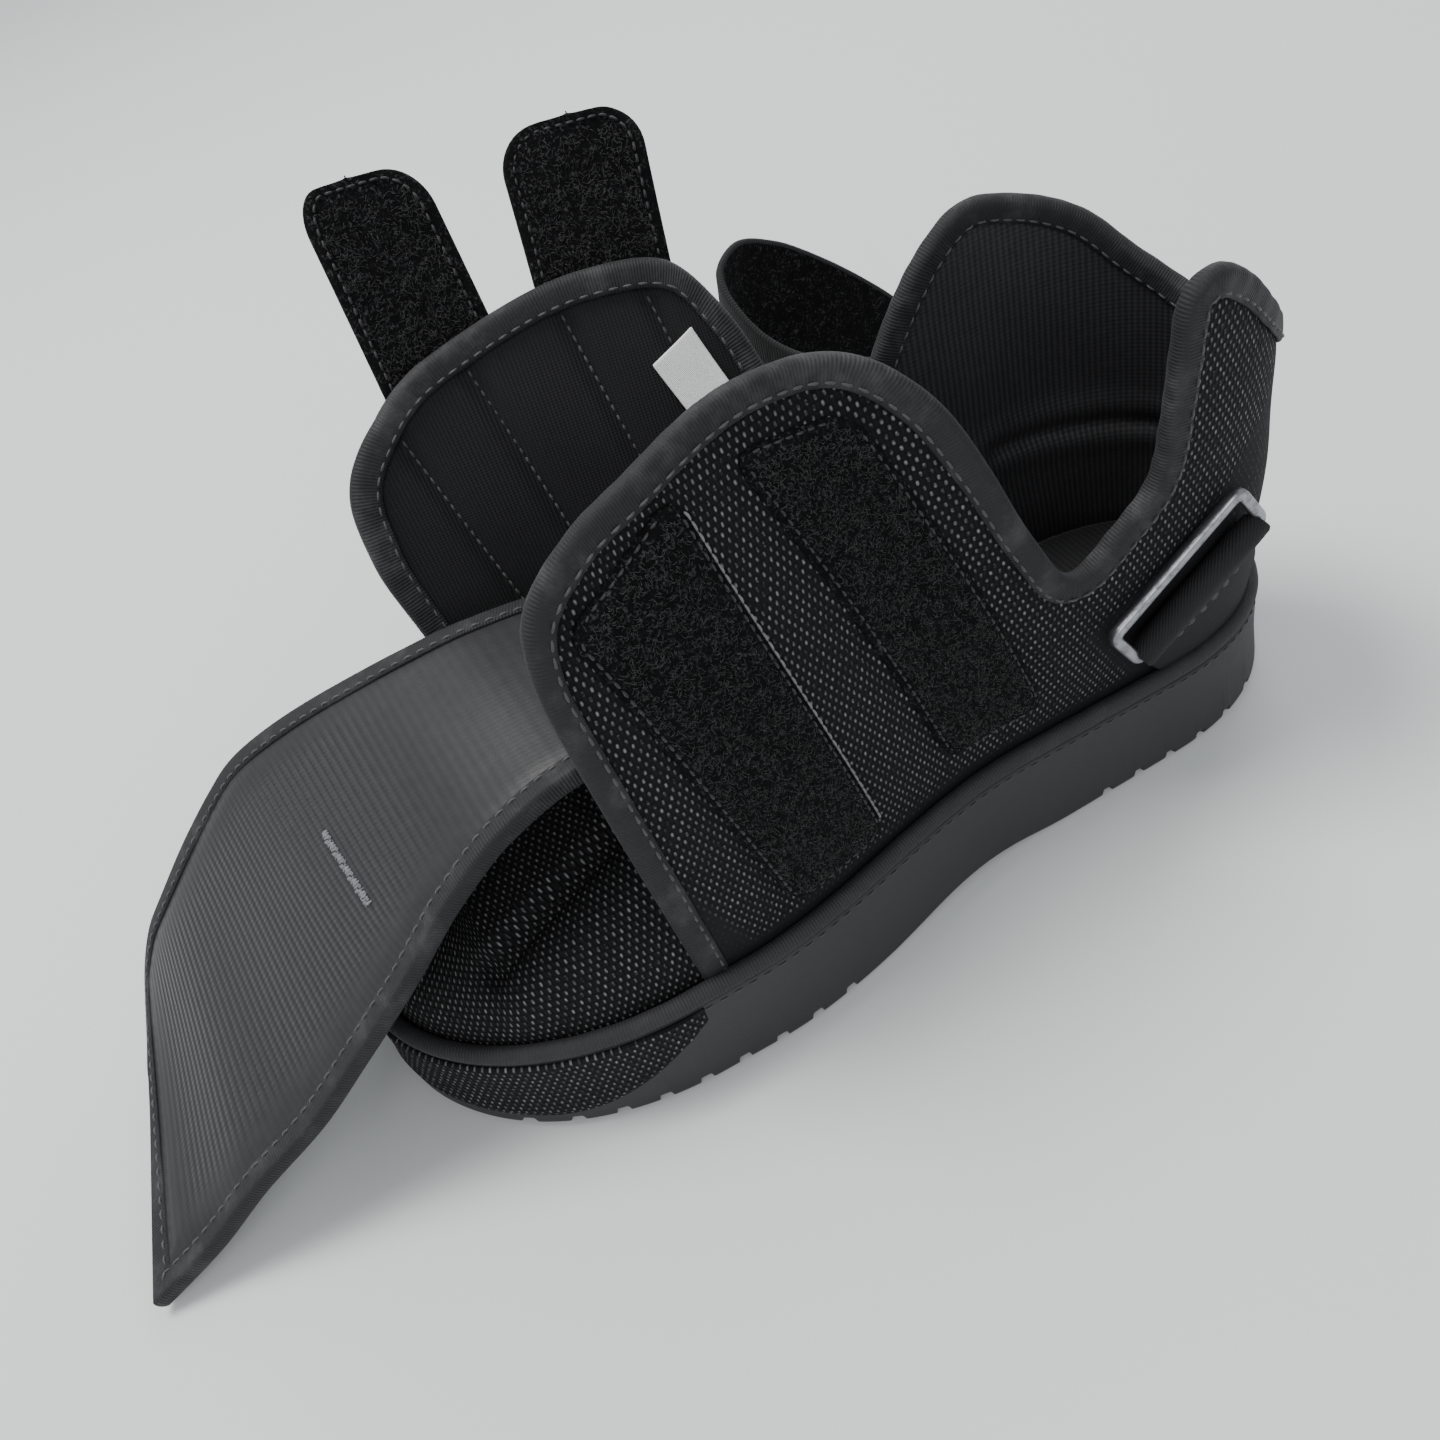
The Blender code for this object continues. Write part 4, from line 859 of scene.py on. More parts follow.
def build_upper(context):
    """The wall's outer mesh and its lining, each a sheet between the wall's face and its middle."""
    puff = context.scene.shoe_sizes.puff / MM
    lines = wall_lines(380)
    up = np.linspace(0, 1, 56)[None, :]
    foot, top, rise = (lines[:, k][:, None] for k in range(3))
    girth = foot + (top - foot) * up
    _, station = edge_point(girth, 0.0)
    floor = sole_top(station) + GAP
    height = floor + (rise - floor) * up
    below = rise - height
    uv = cloth_uv(girth, height)
    above = height - sole_top(station)
    at = station / LENGTH
    plain = smooth((7.5 - above) / 1.2)
    corner = smooth((at - 0.655 - 0.0016 * above) / 0.012) * smooth((46 - above) / 10) * (girth > 0)
    low, high = ring_seat()
    along = (high - low) / np.linalg.norm(high - low)
    beyond = -(girth - low[0]) * along[1] + (height - low[1]) * along[0]
    beside = (girth - low[0]) * along[0] + (height - low[1]) * along[1]
    panel = np.where(beyond * np.sign(along[0]) < 13.0, 1.0, 0.0) * smooth((beside + 4) / 1.2) * (girth > 8)
    plain = np.maximum(np.maximum(plain, corner), panel)
    outer = wall_point(girth, height, wall_relief(girth, height, below, puff))
    middle = wall_point(girth, height, -UPPER_WALL * 0.5)
    skin = slab("upper_mesh", outer, middle, uv, rounding=1, mask=plain)
    look = finishes(context)
    dress(skin, "shoe", "mesh_cloth", look["mesh"], look["mesh"], replaces=["upper"])
    inner = wall_point(girth, height, -UPPER_WALL + lining_relief(girth, height, below, puff))
    lining = slab("upper_lining", inner, wall_point(girth, height, -UPPER_WALL * 0.5 - 0.05), uv, rounding=1)
    centres = np.empty(len(lining.data.polygons) * 3)
    lining.data.polygons.foreach_get("center", centres)
    centres = centres.reshape(-1, 3) / MM
    on_flap = (HEEL_SEAT * LENGTH - centres[:, 1]) / LENGTH > 0.335
    lining.data.polygons.foreach_set("material_index", on_flap.astype(np.int32))
    dress(lining, "shoe", "lining_cloth", look["lining"], look["flap_lining"])


def cap_points(columns, rows, depth):
    """The toe cap: rings that shrink from the outline to a ridge over the toes, folded near the tongue.

    The fold is a trough across the cap with a swollen lobe below it on the ring's side.
    """
    way = np.linspace(np.arccos(1 - 2 * CAP_THROAT) / np.pi, 1.0, columns // 2 + 1)
    share = (1 - np.cos(np.pi * way)) / 2
    share = np.concatenate([share, share[-2::-1]])
    side = np.concatenate([np.ones(columns // 2 + 1), -np.ones(columns // 2)])
    girth = np.where(side > 0, girth_of(share, 1), girth_of(share, -1))
    step = CAP_STEP * (1 - smooth((share - 0.75) / 0.10))
    base_x, base_s = edge_point(girth, UPPER_INSET + step)
    ridge = np.minimum(share, CAP_FAN)
    ridge_x, ridge_s = centre_line(ridge * LENGTH), ridge * LENGTH
    crown = CAP_HEIGHT + (TOE_HEIGHT - CAP_HEIGHT) * (ridge - CAP_THROAT) / (CAP_FAN - CAP_THROAT)
    angle = np.linspace(0.0, np.pi / 2, rows)
    reach, climb = np.abs(np.cos(angle)) ** (2 / 2.3), np.sin(angle) ** (2 / 2.3)
    reach[-1] = 0.0
    across = ridge_x[:, None] + (base_x - ridge_x)[:, None] * reach
    station = ridge_s[:, None] + (base_s - ridge_s)[:, None] * reach
    height = sole_top(station) + 2 * GAP + crown[:, None] * climb
    points = to_world(across, station, height)
    along = np.gradient(points, axis=0)
    upward = np.gradient(points, axis=1)
    normal = unit(np.cross(along, upward))
    if (normal[:, rows // 2] * (points[:, rows // 2] - points[:, rows // 2].mean(axis=0))).sum() < 0:
        normal = -normal
    normal[:, -1] = (0, 0, 1)
    trough = segment_distance(across, station, (13.5, 178.0), (22.5, 222.0))
    roll = segment_distance(across, station, (8.5, 178.0), (18.0, 222.0))
    lobe = segment_distance(across, station, (25.0, 178.0), (31.0, 221.0))
    crease = segment_distance(across, station, (-4.0, 168.0), (-14.0, 212.0))
    relief = 1.2 * np.exp(-(roll / 2.6) ** 2) - 3.6 * np.exp(-(trough / 3.0) ** 2)
    relief = relief + 2.0 * np.exp(-(lobe / 5.0) ** 2)
    relief = relief - 1.8 * np.exp(-(crease / 3.2) ** 2) + 0.3 * ripple(across, station, 20, 7)
    relief = relief * smooth(climb / 0.5)[None, :] * smooth((np.pi / 2 - angle) / 0.2 + 0.6)[None, :]
    climbed = np.cumsum(np.linalg.norm(np.diff(points, axis=1, prepend=points[:, :1]), axis=2), axis=1)
    girth = np.where(girth < 0, girth + 2 * GIRTH[-1], girth)
    uv = np.stack([np.broadcast_to(girth[:, None], climbed.shape), climbed], axis=-1) / 10
    return points + normal * relief[..., None], points - normal * depth, uv


def build_cap(context):
    """The toe cap as one closed shell between its outer face and the same face moved inwards."""
    outer, inner, uv = cap_points(240, 62, CAP_WALL)
    rows, columns = outer.shape[:2]
    total = rows * columns
    faces = np.concatenate([grid_faces(rows, columns), grid_faces(rows, columns, start=total)[:, ::-1]])
    index = np.arange(total).reshape(rows, columns)
    rims = [index[:, 0], index[0], index[-1]]
    for rim in rims:
        strip = np.stack([rim[1:], rim[:-1], rim[:-1] + total, rim[1:] + total], axis=-1)
        faces = np.concatenate([faces, strip])
    cap = mesh_object("toe_cap", np.concatenate([outer.reshape(-1, 3), inner.reshape(-1, 3)]), faces,
                      np.concatenate([uv.reshape(-1, 2)] * 2), masks={"plain": np.zeros(2 * total)})
    made = bmesh.new()
    made.from_mesh(cap.data)
    bmesh.ops.remove_doubles(made, verts=made.verts[:], dist=0.00002)
    bmesh.ops.recalc_face_normals(made, faces=made.faces[:])
    made.to_mesh(cap.data)
    made.free()
    dress(cap, "shoe", "mesh_cloth", finishes(context)["mesh"])


def edge_path(count):
    """Girth and height along the upper's edge, from the ring side's front foot to the far front foot."""
    lines = wall_lines(count)
    side = np.linspace(0.012, 0.97, 60)
    parts = []
    for line, share in ((lines[0], side), (lines[-1], side[::-1])):
        foot, top, rise = line
        girth = foot + (top - foot) * share
        floor = sole_top(edge_point(girth, 0.0)[1]) + GAP
        parts.append(np.stack([girth, floor + (rise - floor) * share], axis=1))
    path = np.concatenate([parts[0], lines[:, 1:3], parts[1]])
    for _ in range(14):
        path[1:-1] = (path[:-2] + 2 * path[1:-1] + path[2:]) / 4
    run = run_along(path)
    even = np.linspace(0, run[-1], count + 160)
    return np.stack([np.interp(even, run, path[:, k]) for k in (0, 1)], axis=1)


def away_from(path):
    """Unit direction out past an edge drawn in girth and height."""
    along = unit(np.gradient(path, axis=0))
    past = np.stack([along[:, 1], -along[:, 0]], axis=1)
    return past if past[len(past) // 2, 1] > 0 else -past


def build_binding(context):
    """Tape folded over the edge: a flat leg on each face joined by a round fold, slightly gathered."""
    look = finishes(context)
    width, wall = context.scene.shoe_sizes.tape_width / MM, UPPER_WALL
    path = edge_path(620)
    past = away_from(path)
    turn = np.linspace(0, np.pi, 9)
    fold = wall / 2 + 0.95
    outer = [(-width, 0.10), (-width, 0.55), (-width * 0.93, 0.85), (-width * 0.7, 0.98),
             (-width * 0.35, 0.98)]
    inner = [(-width * 0.35, -wall - 0.98), (-width * 0.7, -wall - 0.98), (-width * 0.93, -wall - 0.85),
             (-width, -wall - 0.55), (-width, -wall - 0.10)]
    arc = [(-0.6 + fold * math.sin(a) * 0.85, -wall / 2 + (wall / 2 + 0.95) * math.cos(a)) for a in turn]
    inside = [(-0.5, -wall - 0.05), (-0.2, -wall / 2), (-0.5, 0.05)]
    run = run_along(path)
    gather = 0.10 * np.sin(run / 1.15 + 1.5 * np.sin(run / 9.0)) + 0.10 * ripple(run, 0.0, 16, 5)
    sections = []
    for beyond, out in outer + arc + inner + inside:
        place = path + beyond * past
        sections.append(wall_point(place[:, 0], place[:, 1], out + gather * (1 if out > -wall / 2 else -1)))
    points = np.stack(sections, axis=1)
    across = np.linspace(0, 1.6, points.shape[1])
    uv = np.stack(np.broadcast_arrays(run[:, None] / 10, across[None, :]), axis=-1)
    folded = mesh_object("edge_tape", points, tube_faces(*points.shape[:2]), uv)
    dress(folded, "shoe", "binding_cloth", look["tape"], replaces=["binding"])
    place = (path - past * (width - 1.0)).T
    rows = [wall_stitches(*place, out, sewing(context), side) for out, side in ((1.0, 1), (-wall - 1.0, -1))]
    dress(thread_object("tape_stitches", rows), "shoe", "binding_cloth", look["pale_thread"])


def tongue_surface(rows_count, columns):
    """The tongue's upper face and its normals: straight lines between its two edge curves, softly waved."""
    rows = curve_through(TONGUE_ROWS, rows_count, (0, 1))
    tip, root = TONGUE_WALL + TIP_CLEARANCE, CAP_THROAT * LENGTH - GAP - TONGUE_WALL
    rise = TONGUE_CREST - tip
    share = np.linspace(0.0, 1.0, rows_count)
    width = TONGUE_ROOT_WIDTH + (TONGUE_END_WIDTH - TONGUE_ROOT_WIDTH) * smooth((share - 0.20) / 0.45)
    uncut = width
    bite = np.clip(TONGUE_CORNER - (1 - share) * 1.15 * TONGUE_REACH, 0, None)
    width = width - (TONGUE_CORNER - np.sqrt(TONGUE_CORNER ** 2 - bite ** 2))
    near = to_world(TONGUE_EDGE, root + rows[:, 0] * TONGUE_REACH, tip + rows[:, 1] * rise)
    far = to_world(TONGUE_EDGE - width, root + rows[:, 2] * TONGUE_REACH, tip + rows[:, 3] * rise)
    spread = np.linspace(0.0, 1.0, columns)[None, :, None]
    points = far[:, None, :] * (1 - spread) + near[:, None, :] * spread
    square = np.stack([near[:, 0] - uncut, far[:, 1], far[:, 2]], axis=1)
    whole = square[:, None, :] * (1 - spread) + near[:, None, :] * spread
    normal = unit(np.cross(np.gradient(whole, axis=0), np.gradient(whole, axis=1)))
    return points, normal, share, width


def build_tongue(context):
    """A pad whose faces sink at its rim, folded tape round its edge, a stitch row and a zigzag tack."""
    sizes, look = context.scene.shoe_sizes, finishes(context)
    rows_count, columns = TONGUE_GRID
    points, normal, share, width = tongue_surface(rows_count, columns)
    spread = np.linspace(0, 1, columns)[None, :]
    length = share[:, None] * TONGUE_RUN
    rim = np.minimum(np.minimum(spread, 1 - spread) * width[:, None], (1 - share)[:, None] * TONGUE_RUN)
    pad = smooth(rim / 9.0)
    wave = 0.7 * ripple(length, spread * 80, 60, 11) * pad
    top = points + normal * (wave + 0.9 * (pad - 1))[..., None]
    under = points - normal * (TONGUE_WALL - 0.9 * (1 - pad))[..., None]
    uv = cloth_uv(spread * width[:, None], length)
    border = 1 - smooth((rim - 8) / 9) * smooth((length - 70) / 25)
    body = slab("tongue_pad", top, under, uv, rounding=2, mask=border, bulge=0.2)
    dress(body, "shoe", "lining_cloth", look["tongue"], look["tape"], replaces=["tongue"])

    def on_tongue(x, y, out):
        """A point at x back from the ring-side edge, y from the root and out from the face; its normal."""
        row = np.clip(y / TONGUE_RUN, 0, 1) * (rows_count - 1)
        wide = np.interp(row, np.arange(rows_count), width)
        column = np.clip(1 + x / wide, 0, 1) * (columns - 1)
        place, up = read_grids((points, normal), row, column)
        return place + up * out, up

    # Tape folded round the two long edges and the end.
    y = np.linspace(14, TONGUE_RUN, 200)
    wide = np.interp(y, share * TONGUE_RUN, width)
    tip = np.linspace(-wide[-1], 0, 60)[1:-1]
    rim_line = np.concatenate([np.stack([-wide, y], 1), np.stack([tip, np.full_like(tip, TONGUE_RUN)], 1),
                               np.stack([np.zeros_like(y), y[::-1]], 1)])
    inward = unit(np.gradient(rim_line, axis=0))[:, ::-1] * (1, -1)
    for _ in range(10):
        inward[1:-1] = unit(inward[:-2] + 2 * inward[1:-1] + inward[2:])
    tape_width = sizes.tape_width / MM * 0.95
    edge, face = on_tongue(*rim_line.T, 0.0)
    away = unit(edge - on_tongue(*(rim_line + inward * 1.5).T, 0.0)[0])
    wall = TONGUE_WALL
    sections = [on_tongue(*(rim_line + inward * tape_width * k).T, out)[0]
                for k, out in ((1.0, -0.7), (1.0, 0.0), (0.7, 0.2), (0.3, 0.2))]
    for a in np.linspace(0, np.pi, 8):
        out = -wall / 2 + (wall / 2 + 0.2) * math.cos(a)
        sections.append(edge + away * (1.0 * math.sin(a) - 0.3) + face * out)
    sections += [on_tongue(*(rim_line + inward * tape_width * k).T, -wall + out)[0]
                 for k, out in ((0.3, -0.2), (0.7, -0.2), (1.0, 0.0), (1.0, 0.7))]
    sections += [edge - away * 0.8 - face * (wall - 1.2), edge - away * 0.8 - face * 1.2]
    tube = np.stack(sections, axis=1)
    across = np.linspace(0, 1.6, tube.shape[1])
    uv = np.stack(np.broadcast_arrays(run_along(edge)[:, None] / 10, across[None, :]), axis=-1)
    folded = mesh_object("tongue_tape", tube, tube_faces(*tube.shape[:2]), uv)
    dress(folded, "shoe", "binding_cloth", look["tape"])
    seam, up = on_tongue(*(rim_line + inward * (tape_width - 0.9)).T, 0.15)
    rows = [stitch_row(seam, up, *sewing(context))]
    # The bar tack sewn across the tongue.
    zig = np.where(np.arange(60) % 2 == 0, 1.1, -1.1)
    tack_x, tack_y = np.linspace(-0.50, -0.22, 60) * 87, 0.53 * TONGUE_RUN + zig
    line, up = on_tongue(tack_x, tack_y, 0.25)
    tack = stitch_row(line, up, 2.0, 0.05, 0.33, 0.3)
    dress(thread_object("tongue_tack", [tack]), "shoe", "lining_cloth", look["tack"])
    dress(thread_object("tongue_stitches", rows), "shoe", "lining_cloth", look["pale_thread"])


def strip_places(side, strip, width, corner, tall, lengthwise, crosswise):
    """Girth and height over a strip with level sides and round corners, up from its lower end."""
    foot, tip, tip_rise = strip
    start, end = (np.array([girth_of(s, side), sole_top(s * LENGTH) + h * tall]) for s, h in (foot, tip))
    run = np.linalg.norm(end - start)
    rounding = corner * (1 - np.cos(np.linspace(0.0, np.pi / 2, 12)))
    middle = np.linspace(corner, run - corner, lengthwise)[1:-1]
    distance = np.concatenate([rounding, middle, run - rounding[::-1]])
    left = np.clip(corner - np.minimum(distance, run - distance), 0, None)
    inset = corner - np.sqrt(corner ** 2 - left ** 2)
    share = distance / run
    centre = start + (end - start) * share[:, None]
    step = wall_face(centre[:, 0] + 0.5, centre[:, 1]) - wall_face(centre[:, 0] - 0.5, centre[:, 1])
    scale = np.linalg.norm(step, axis=1)
    spread = np.linspace(1.0, -1.0, crosswise)[:, None]
    offset = spread * (width / 2 - inset) / scale
    girth = centre[:, 0] + offset
    height = centre[:, 1] + tip_rise * side * offset * share
    uv = cloth_uv(distance, offset * scale)
    return girth, height, uv


def border_path(girth, height, inset):
    """The strip's outline, moved inwards, as girth and height."""
    place = np.stack([girth, height], axis=-1)
    loop = np.concatenate([place[0, :-1], place[:-1, -1], place[-1, :0:-1], place[:0:-1, 0]])
    centre = loop.mean(axis=0)
    tangent = unit(np.roll(loop, -1, axis=0) - np.roll(loop, 1, axis=0))
    inward = np.stack([-tangent[:, 1], tangent[:, 0]], axis=1)
    inward *= np.sign(((centre - loop) * inward).sum(axis=1))[:, None]
    for _ in range(6):
        inward = unit(np.roll(inward, 1, axis=0) + 2 * inward + np.roll(inward, -1, axis=0))
    return loop + inward * inset


def loops(name, girth, height, out, count, side, seed):
    """Curled fibres over a strip: three-sided arches with ends in the pile, uneven in height and turn."""
    rng = np.random.default_rng(seed)
    rows, columns = girth.shape
    row, column = rng.uniform(2.5, rows - 3.5, count), rng.uniform(7, columns - 8, count)
    read = read_grids((girth, height), row, column)
    base, up = wall_point(read[0], read[1], out), wall_normal(read[0], read[1]) * side
    turn = rng.uniform(0, 2 * np.pi, count)[:, None]
    ahead = unit(np.cross(up, np.array([0.3, 0.5, 0.8])))
    ahead = ahead * np.cos(turn) + np.cross(up, ahead) * np.sin(turn)
    aside = np.cross(up, ahead)
    reach, tall = rng.uniform(0.3, 0.8, count), rng.uniform(0.35, 0.95, count)
    t = np.linspace(0, np.pi, 4)
    centre = (base[:, None, :] - ahead[:, None, :] * (np.cos(t)[None, :] * reach[:, None])[..., None]
              + up[:, None, :] * (np.sin(t)[None, :] * tall[:, None] - 0.12)[..., None])
    three = np.arange(3) * 2 * np.pi / 3
    ring = (np.cos(three)[None, None, :, None] * aside[:, None, None, :]
            + np.sin(three)[None, None, :, None] * up[:, None, None, :]) * 0.06
    points = (centre[:, :, None, :] + ring).reshape(-1, 3)
    start = np.arange(count)[:, None, None] * 12
    quads = (start + grid_faces(4, 3, wrap_columns=True)[None]).reshape(-1, 4)
    ends = (start + np.array([[0, 1, 2], [11, 10, 9]])[None]).reshape(-1, 3)
    return mesh_object(name, points, quads.tolist() + ends.tolist())


def build_fasteners(context):
    """Loop bands on the ring side's flap and the two instep straps on the far flap."""
    look = finishes(context)
    sewn = sewing(context, 0.8, 0.6)
    rows = []
    for name, strip in BANDS.items():
        girth, height, uv = strip_places(1, strip, BAND_WIDTH, BAND_CORNER, OUTER_FLAP_HEIGHT, 90, 40)
        sides = uv[..., 1]
        u = np.minimum(np.abs(sides - sides.min()), np.abs(sides - sides.max())) * 10
        ends = np.minimum(uv[..., 0], uv[..., 0].max() - uv[..., 0]) * 10
        crown = smooth(np.minimum(u, ends) / 2.2)
        top = 0.75 + 1.05 * crown + 0.12 * ripple(girth, height, 9, 21)
        piece = slab(name + "_pile", wall_point(girth, height, top), wall_point(girth, height, -0.2), uv, 2)
        dress(piece, "shoe", "loop_fastener", look["pile"], look["pile"], replaces=[name])
        wall_point(girth, height, top)
        fuzz = loops(name + "_loops", girth, height, 1.7, 3600, 1, len(rows) + 3)
        dress(fuzz, "shoe", "loop_fastener", look["fibre"])
        loop = border_path(girth, height, 0.9)
        rows.append(wall_stitches(*np.vstack([loop, loop[:1]]).T, 1.15, sewn))
        if name == "loop_band_front":
            beside, tall = girth[-1, 9:-9] - 0.5, height[-1, 9:-9]
            line = wall_stitches(beside, tall, 1.0, (2.4, 0.1, 0.3))
            dress(thread_object("band_seam", [line]), "shoe", "loop_fastener", look["tack"])
    for name, strip in STRAPS.items():
        girth, height, uv = strip_places(-1, strip, STRAP_WIDTH, STRAP_CORNER, INNER_FLAP_HEIGHT, 90, 40)
        up = (height - height.min()) / (height.max() - height.min())
        curl = np.clip(up - 0.55, 0, 1) ** 2 * np.sin(uv[..., 1] * 0.9)
        curl = curl + 0.35 * ripple(girth, height, 50, 31)
        front = wall_point(girth, height, STRAP_CLEAR + STRAP_WALL + curl)
        back = wall_point(girth, height, STRAP_CLEAR + curl)
        piece = slab(name + "_cloth", front, back, uv, 3)
        dress(piece, "shoe", "loop_fastener", look["pile"], look["pile"], replaces=[name])
        fuzz = loops(name + "_hooks", girth, height, STRAP_CLEAR + curl.mean(), 2800, -1, len(rows) + 9)
        dress(fuzz, "shoe", "loop_fastener", look["fibre"])
        loop = border_path(girth, height, 1.5)
        rows.append(wall_stitches(*np.vstack([loop, loop[:1]]).T, STRAP_CLEAR - 0.05, sewn, -1))
    dress(thread_object("fastener_stitches", rows), "shoe", "loop_fastener", look["thread"])
    # Thread rows that hold the flap's quilting.
    seams = []
    for (s0, h0), (s1, h1) in FLAP_CHANNELS:
        t = np.linspace(0, 1, 60)
        girth = girth_of(s0, -1) + (girth_of(s1, -1) - girth_of(s0, -1)) * t
        height = h0 + (h1 - h0) * t
        out = -UPPER_WALL + 1.5 * context.scene.shoe_sizes.puff / MM
        seams.append(wall_stitches(girth, height, out, sewn, -1, 0.2))
    dress(thread_object("flap_stitches", seams), "shoe", "lining_cloth", look["pale_thread"])


def build_ankle_strap(context):
    """A sheet ruled between the strap's two edge curves, with thickness and a soft wave."""
    look = finishes(context)
    rows = np.array(ANKLE_STRAP_ROWS) * (HEEL_WIDTH, LENGTH, WING_HEIGHT, LENGTH, WING_HEIGHT)
    rows = curve_through(rows, 220, (0, 1, 2))
    spread = np.linspace(0.0, 1.0, 36)[None, :]
    station = rows[:, 3:4] * (1 - spread) + rows[:, 1:2] * spread
    height = rows[:, 4:5] * (1 - spread) + rows[:, 2:3] * spread
    ease = 0.45 + (STRAP_EASE - 0.45) * smooth(np.linspace(0.0, 4.0, 220))[:, None]
    points = wall_point(girth_of(station / LENGTH, -1), height, ease)
    beyond = rows[:, 0:1] + points[..., 0]
    points[..., 0] -= (beyond + np.hypot(beyond, STRAP_EASE)) / 2
    for _ in range(3):
        points[1:-1] = (points[:-2] + 2 * points[1:-1] + points[2:]) / 4
    normal = unit(np.cross(np.gradient(points, axis=0), np.gradient(points, axis=1)))
    run = np.linspace(0, 200, 220)[:, None]
    uv = cloth_uv(run, spread * 38)
    wave = 0.5 * ripple(run, spread * 38, 50, 41) * smooth(run / 50)
    piece = slab("ankle_strap_cloth", points + normal * (STRAP_WALL + wave)[..., None],
                 points + normal * wave[..., None], uv, 3)
    dress(piece, "shoe", "loop_fastener", look["pile"], look["webbing"], replaces=["ankle_strap"])


def ring_frame():
    """Middle of the ring's inner bar, its direction, and the direction to the outer bar at rest."""
    joint = next(j for j in frame["joints"] if j["child"] == "ring")
    middle = np.array(joint["pos_m"]) / MM
    along = unit(np.array(joint["axis"]))
    mesh = frame["nodes"]["ring"].data
    where = np.empty(len(mesh.vertices) * 3)
    mesh.vertices.foreach_get("co", where)
    lean = where.reshape(-1, 3).mean(axis=0) / MM - middle
    return middle, along, unit(lean - along * (lean @ along))


def build_ring(context):
    """The ring: a rounded bar carried round a rectangle with small corners."""
    look = finishes(context)
    middle, along, towards = ring_frame()
    length, depth = RING_LENGTH - RING_WIRE, RING_DEPTH - RING_WIRE
    corners = []
    for end, side, first in ((1, 0, -90), (1, 1, 0), (-1, 1, 90), (-1, 0, 180)):
        turn = np.radians(first + np.linspace(0, 90, 9))
        x = end * (length / 2 - RING_CORNER) + RING_CORNER * np.cos(turn)
        y = (RING_CORNER if side == 0 else depth - RING_CORNER) + RING_CORNER * np.sin(turn)
        corners.append(np.stack([x, y], axis=1))
    flat = np.concatenate(corners)
    flat = np.concatenate([flat, flat[:1]])
    run = run_along(flat)
    even = np.linspace(0, run[-1], 240, endpoint=False)
    flat = np.stack([np.interp(even, run, flat[:, k]) for k in (0, 1)], axis=1)
    tangent = unit(np.roll(flat, -1, axis=0) - np.roll(flat, 1, axis=0))
    path = middle + flat[:, :1] * along + flat[:, 1:] * towards
    side = tangent[:, 1:] * along - tangent[:, :1] * towards
    normal = np.broadcast_to(np.cross(along, towards), side.shape)
    turn = np.linspace(0, 2 * np.pi, 20, endpoint=False)
    half = RING_WIRE / 2
    square = np.stack([np.sign(np.cos(turn)) * np.abs(np.cos(turn)) ** 0.62,
                       np.sign(np.sin(turn)) * np.abs(np.sin(turn)) ** 0.62], axis=1) * (half * 0.97)
    ring = sweep("ring_wire", path, normal, side, square, True)
    dress(ring, "ring", "ring_metal", look["steel"], replaces=["ring"])


def build_webbing(context):
    """Webbing that comes up from the sole's seam, rolls over the inner bar and is sewn down on itself."""
    look = finishes(context)
    middle, along, towards = ring_frame()
    width = RING_LENGTH - 2 * RING_WIRE - 2 * WEBBING_SIDE_PLAY
    low, high = ring_seat()
    along_wall = (high - low) / np.linalg.norm(high - low)
    down = np.array([along_wall[1], -along_wall[0]])
    down = down if down[1] < 0 else -down
    across = np.linspace(-0.5, 0.5, 44)[:, None] * width
    start, step = (low + high) / 2, along_wall / 2
    stretch = np.linalg.norm(wall_face(*(start + step)) - wall_face(*(start - step)))
    top = start + across / stretch * along_wall
    bar = middle + across * along * (1 if along @ (wall_face(*high) - wall_face(*low)) > 0 else -1)
    off = ((bar - wall_face(top[:, 0], top[:, 1])) * wall_normal(top[:, 0], top[:, 1])).sum(axis=1)[:, None]
    sewn = sole_top(edge_point(top[:, 0], 0.0)[1]) + 2 * PIPING_RADIUS + 0.4
    fall = ((top[:, 1] - sewn) / -down[1])[:, None]
    thick = WEBBING_WALL
    rc = RING_WIRE / 2 + 0.35 + thick / 2
    t = np.linspace(1, 0, 50)[None, :]
    panel_down, lowest = fall * t, 1.3
    panel_out = lowest + (off - rc - lowest) * smooth(1 - panel_down / 11)
    turn = np.linspace(-np.pi / 2, np.pi / 2, 26)[None, 1:-1]
    arc_out = off + rc * np.sin(turn)
    arc_down = np.broadcast_to(-rc * np.cos(turn), arc_out.shape)
    back = np.linspace(0, 11, 26)[None, :]
    back_out = (lowest + thick * 1.05) + (off + rc - lowest - thick * 1.05) * (1 - smooth(back / 9.5))
    down_all = np.concatenate([panel_down, arc_down, np.broadcast_to(back, back_out.shape)], axis=1)
    out_all = np.concatenate([panel_out, arc_out, back_out], axis=1)
    place = top[:, None, :] + down_all[..., None] * down
    centre = wall_point(place[..., 0], place[..., 1], out_all)
    normal = unit(np.cross(np.gradient(centre, axis=0), np.gradient(centre, axis=1)))
    steps = np.linalg.norm(np.diff(centre, axis=1), axis=2)
    run = np.cumsum(np.pad(steps, ((0, 0), (1, 0))), axis=1)
    uv = cloth_uv(run, across)
    web = slab("webbing_tab", centre + normal * thick / 2, centre - normal * thick / 2, uv, 2)
    dress(web, "shoe", "webbing", look["webbing"], look["webbing"], replaces=["ring_webbing"])
    rows = []
    for at in (9.6, 8.2):
        out = np.interp(at, back[0], back_out[20]) + thick / 2
        rows.append(wall_stitches(*(top + at * down).T, out + 0.02, sewing(context)))
    dress(thread_object("webbing_stitches", rows), "shoe", "webbing", look["pale_thread"])


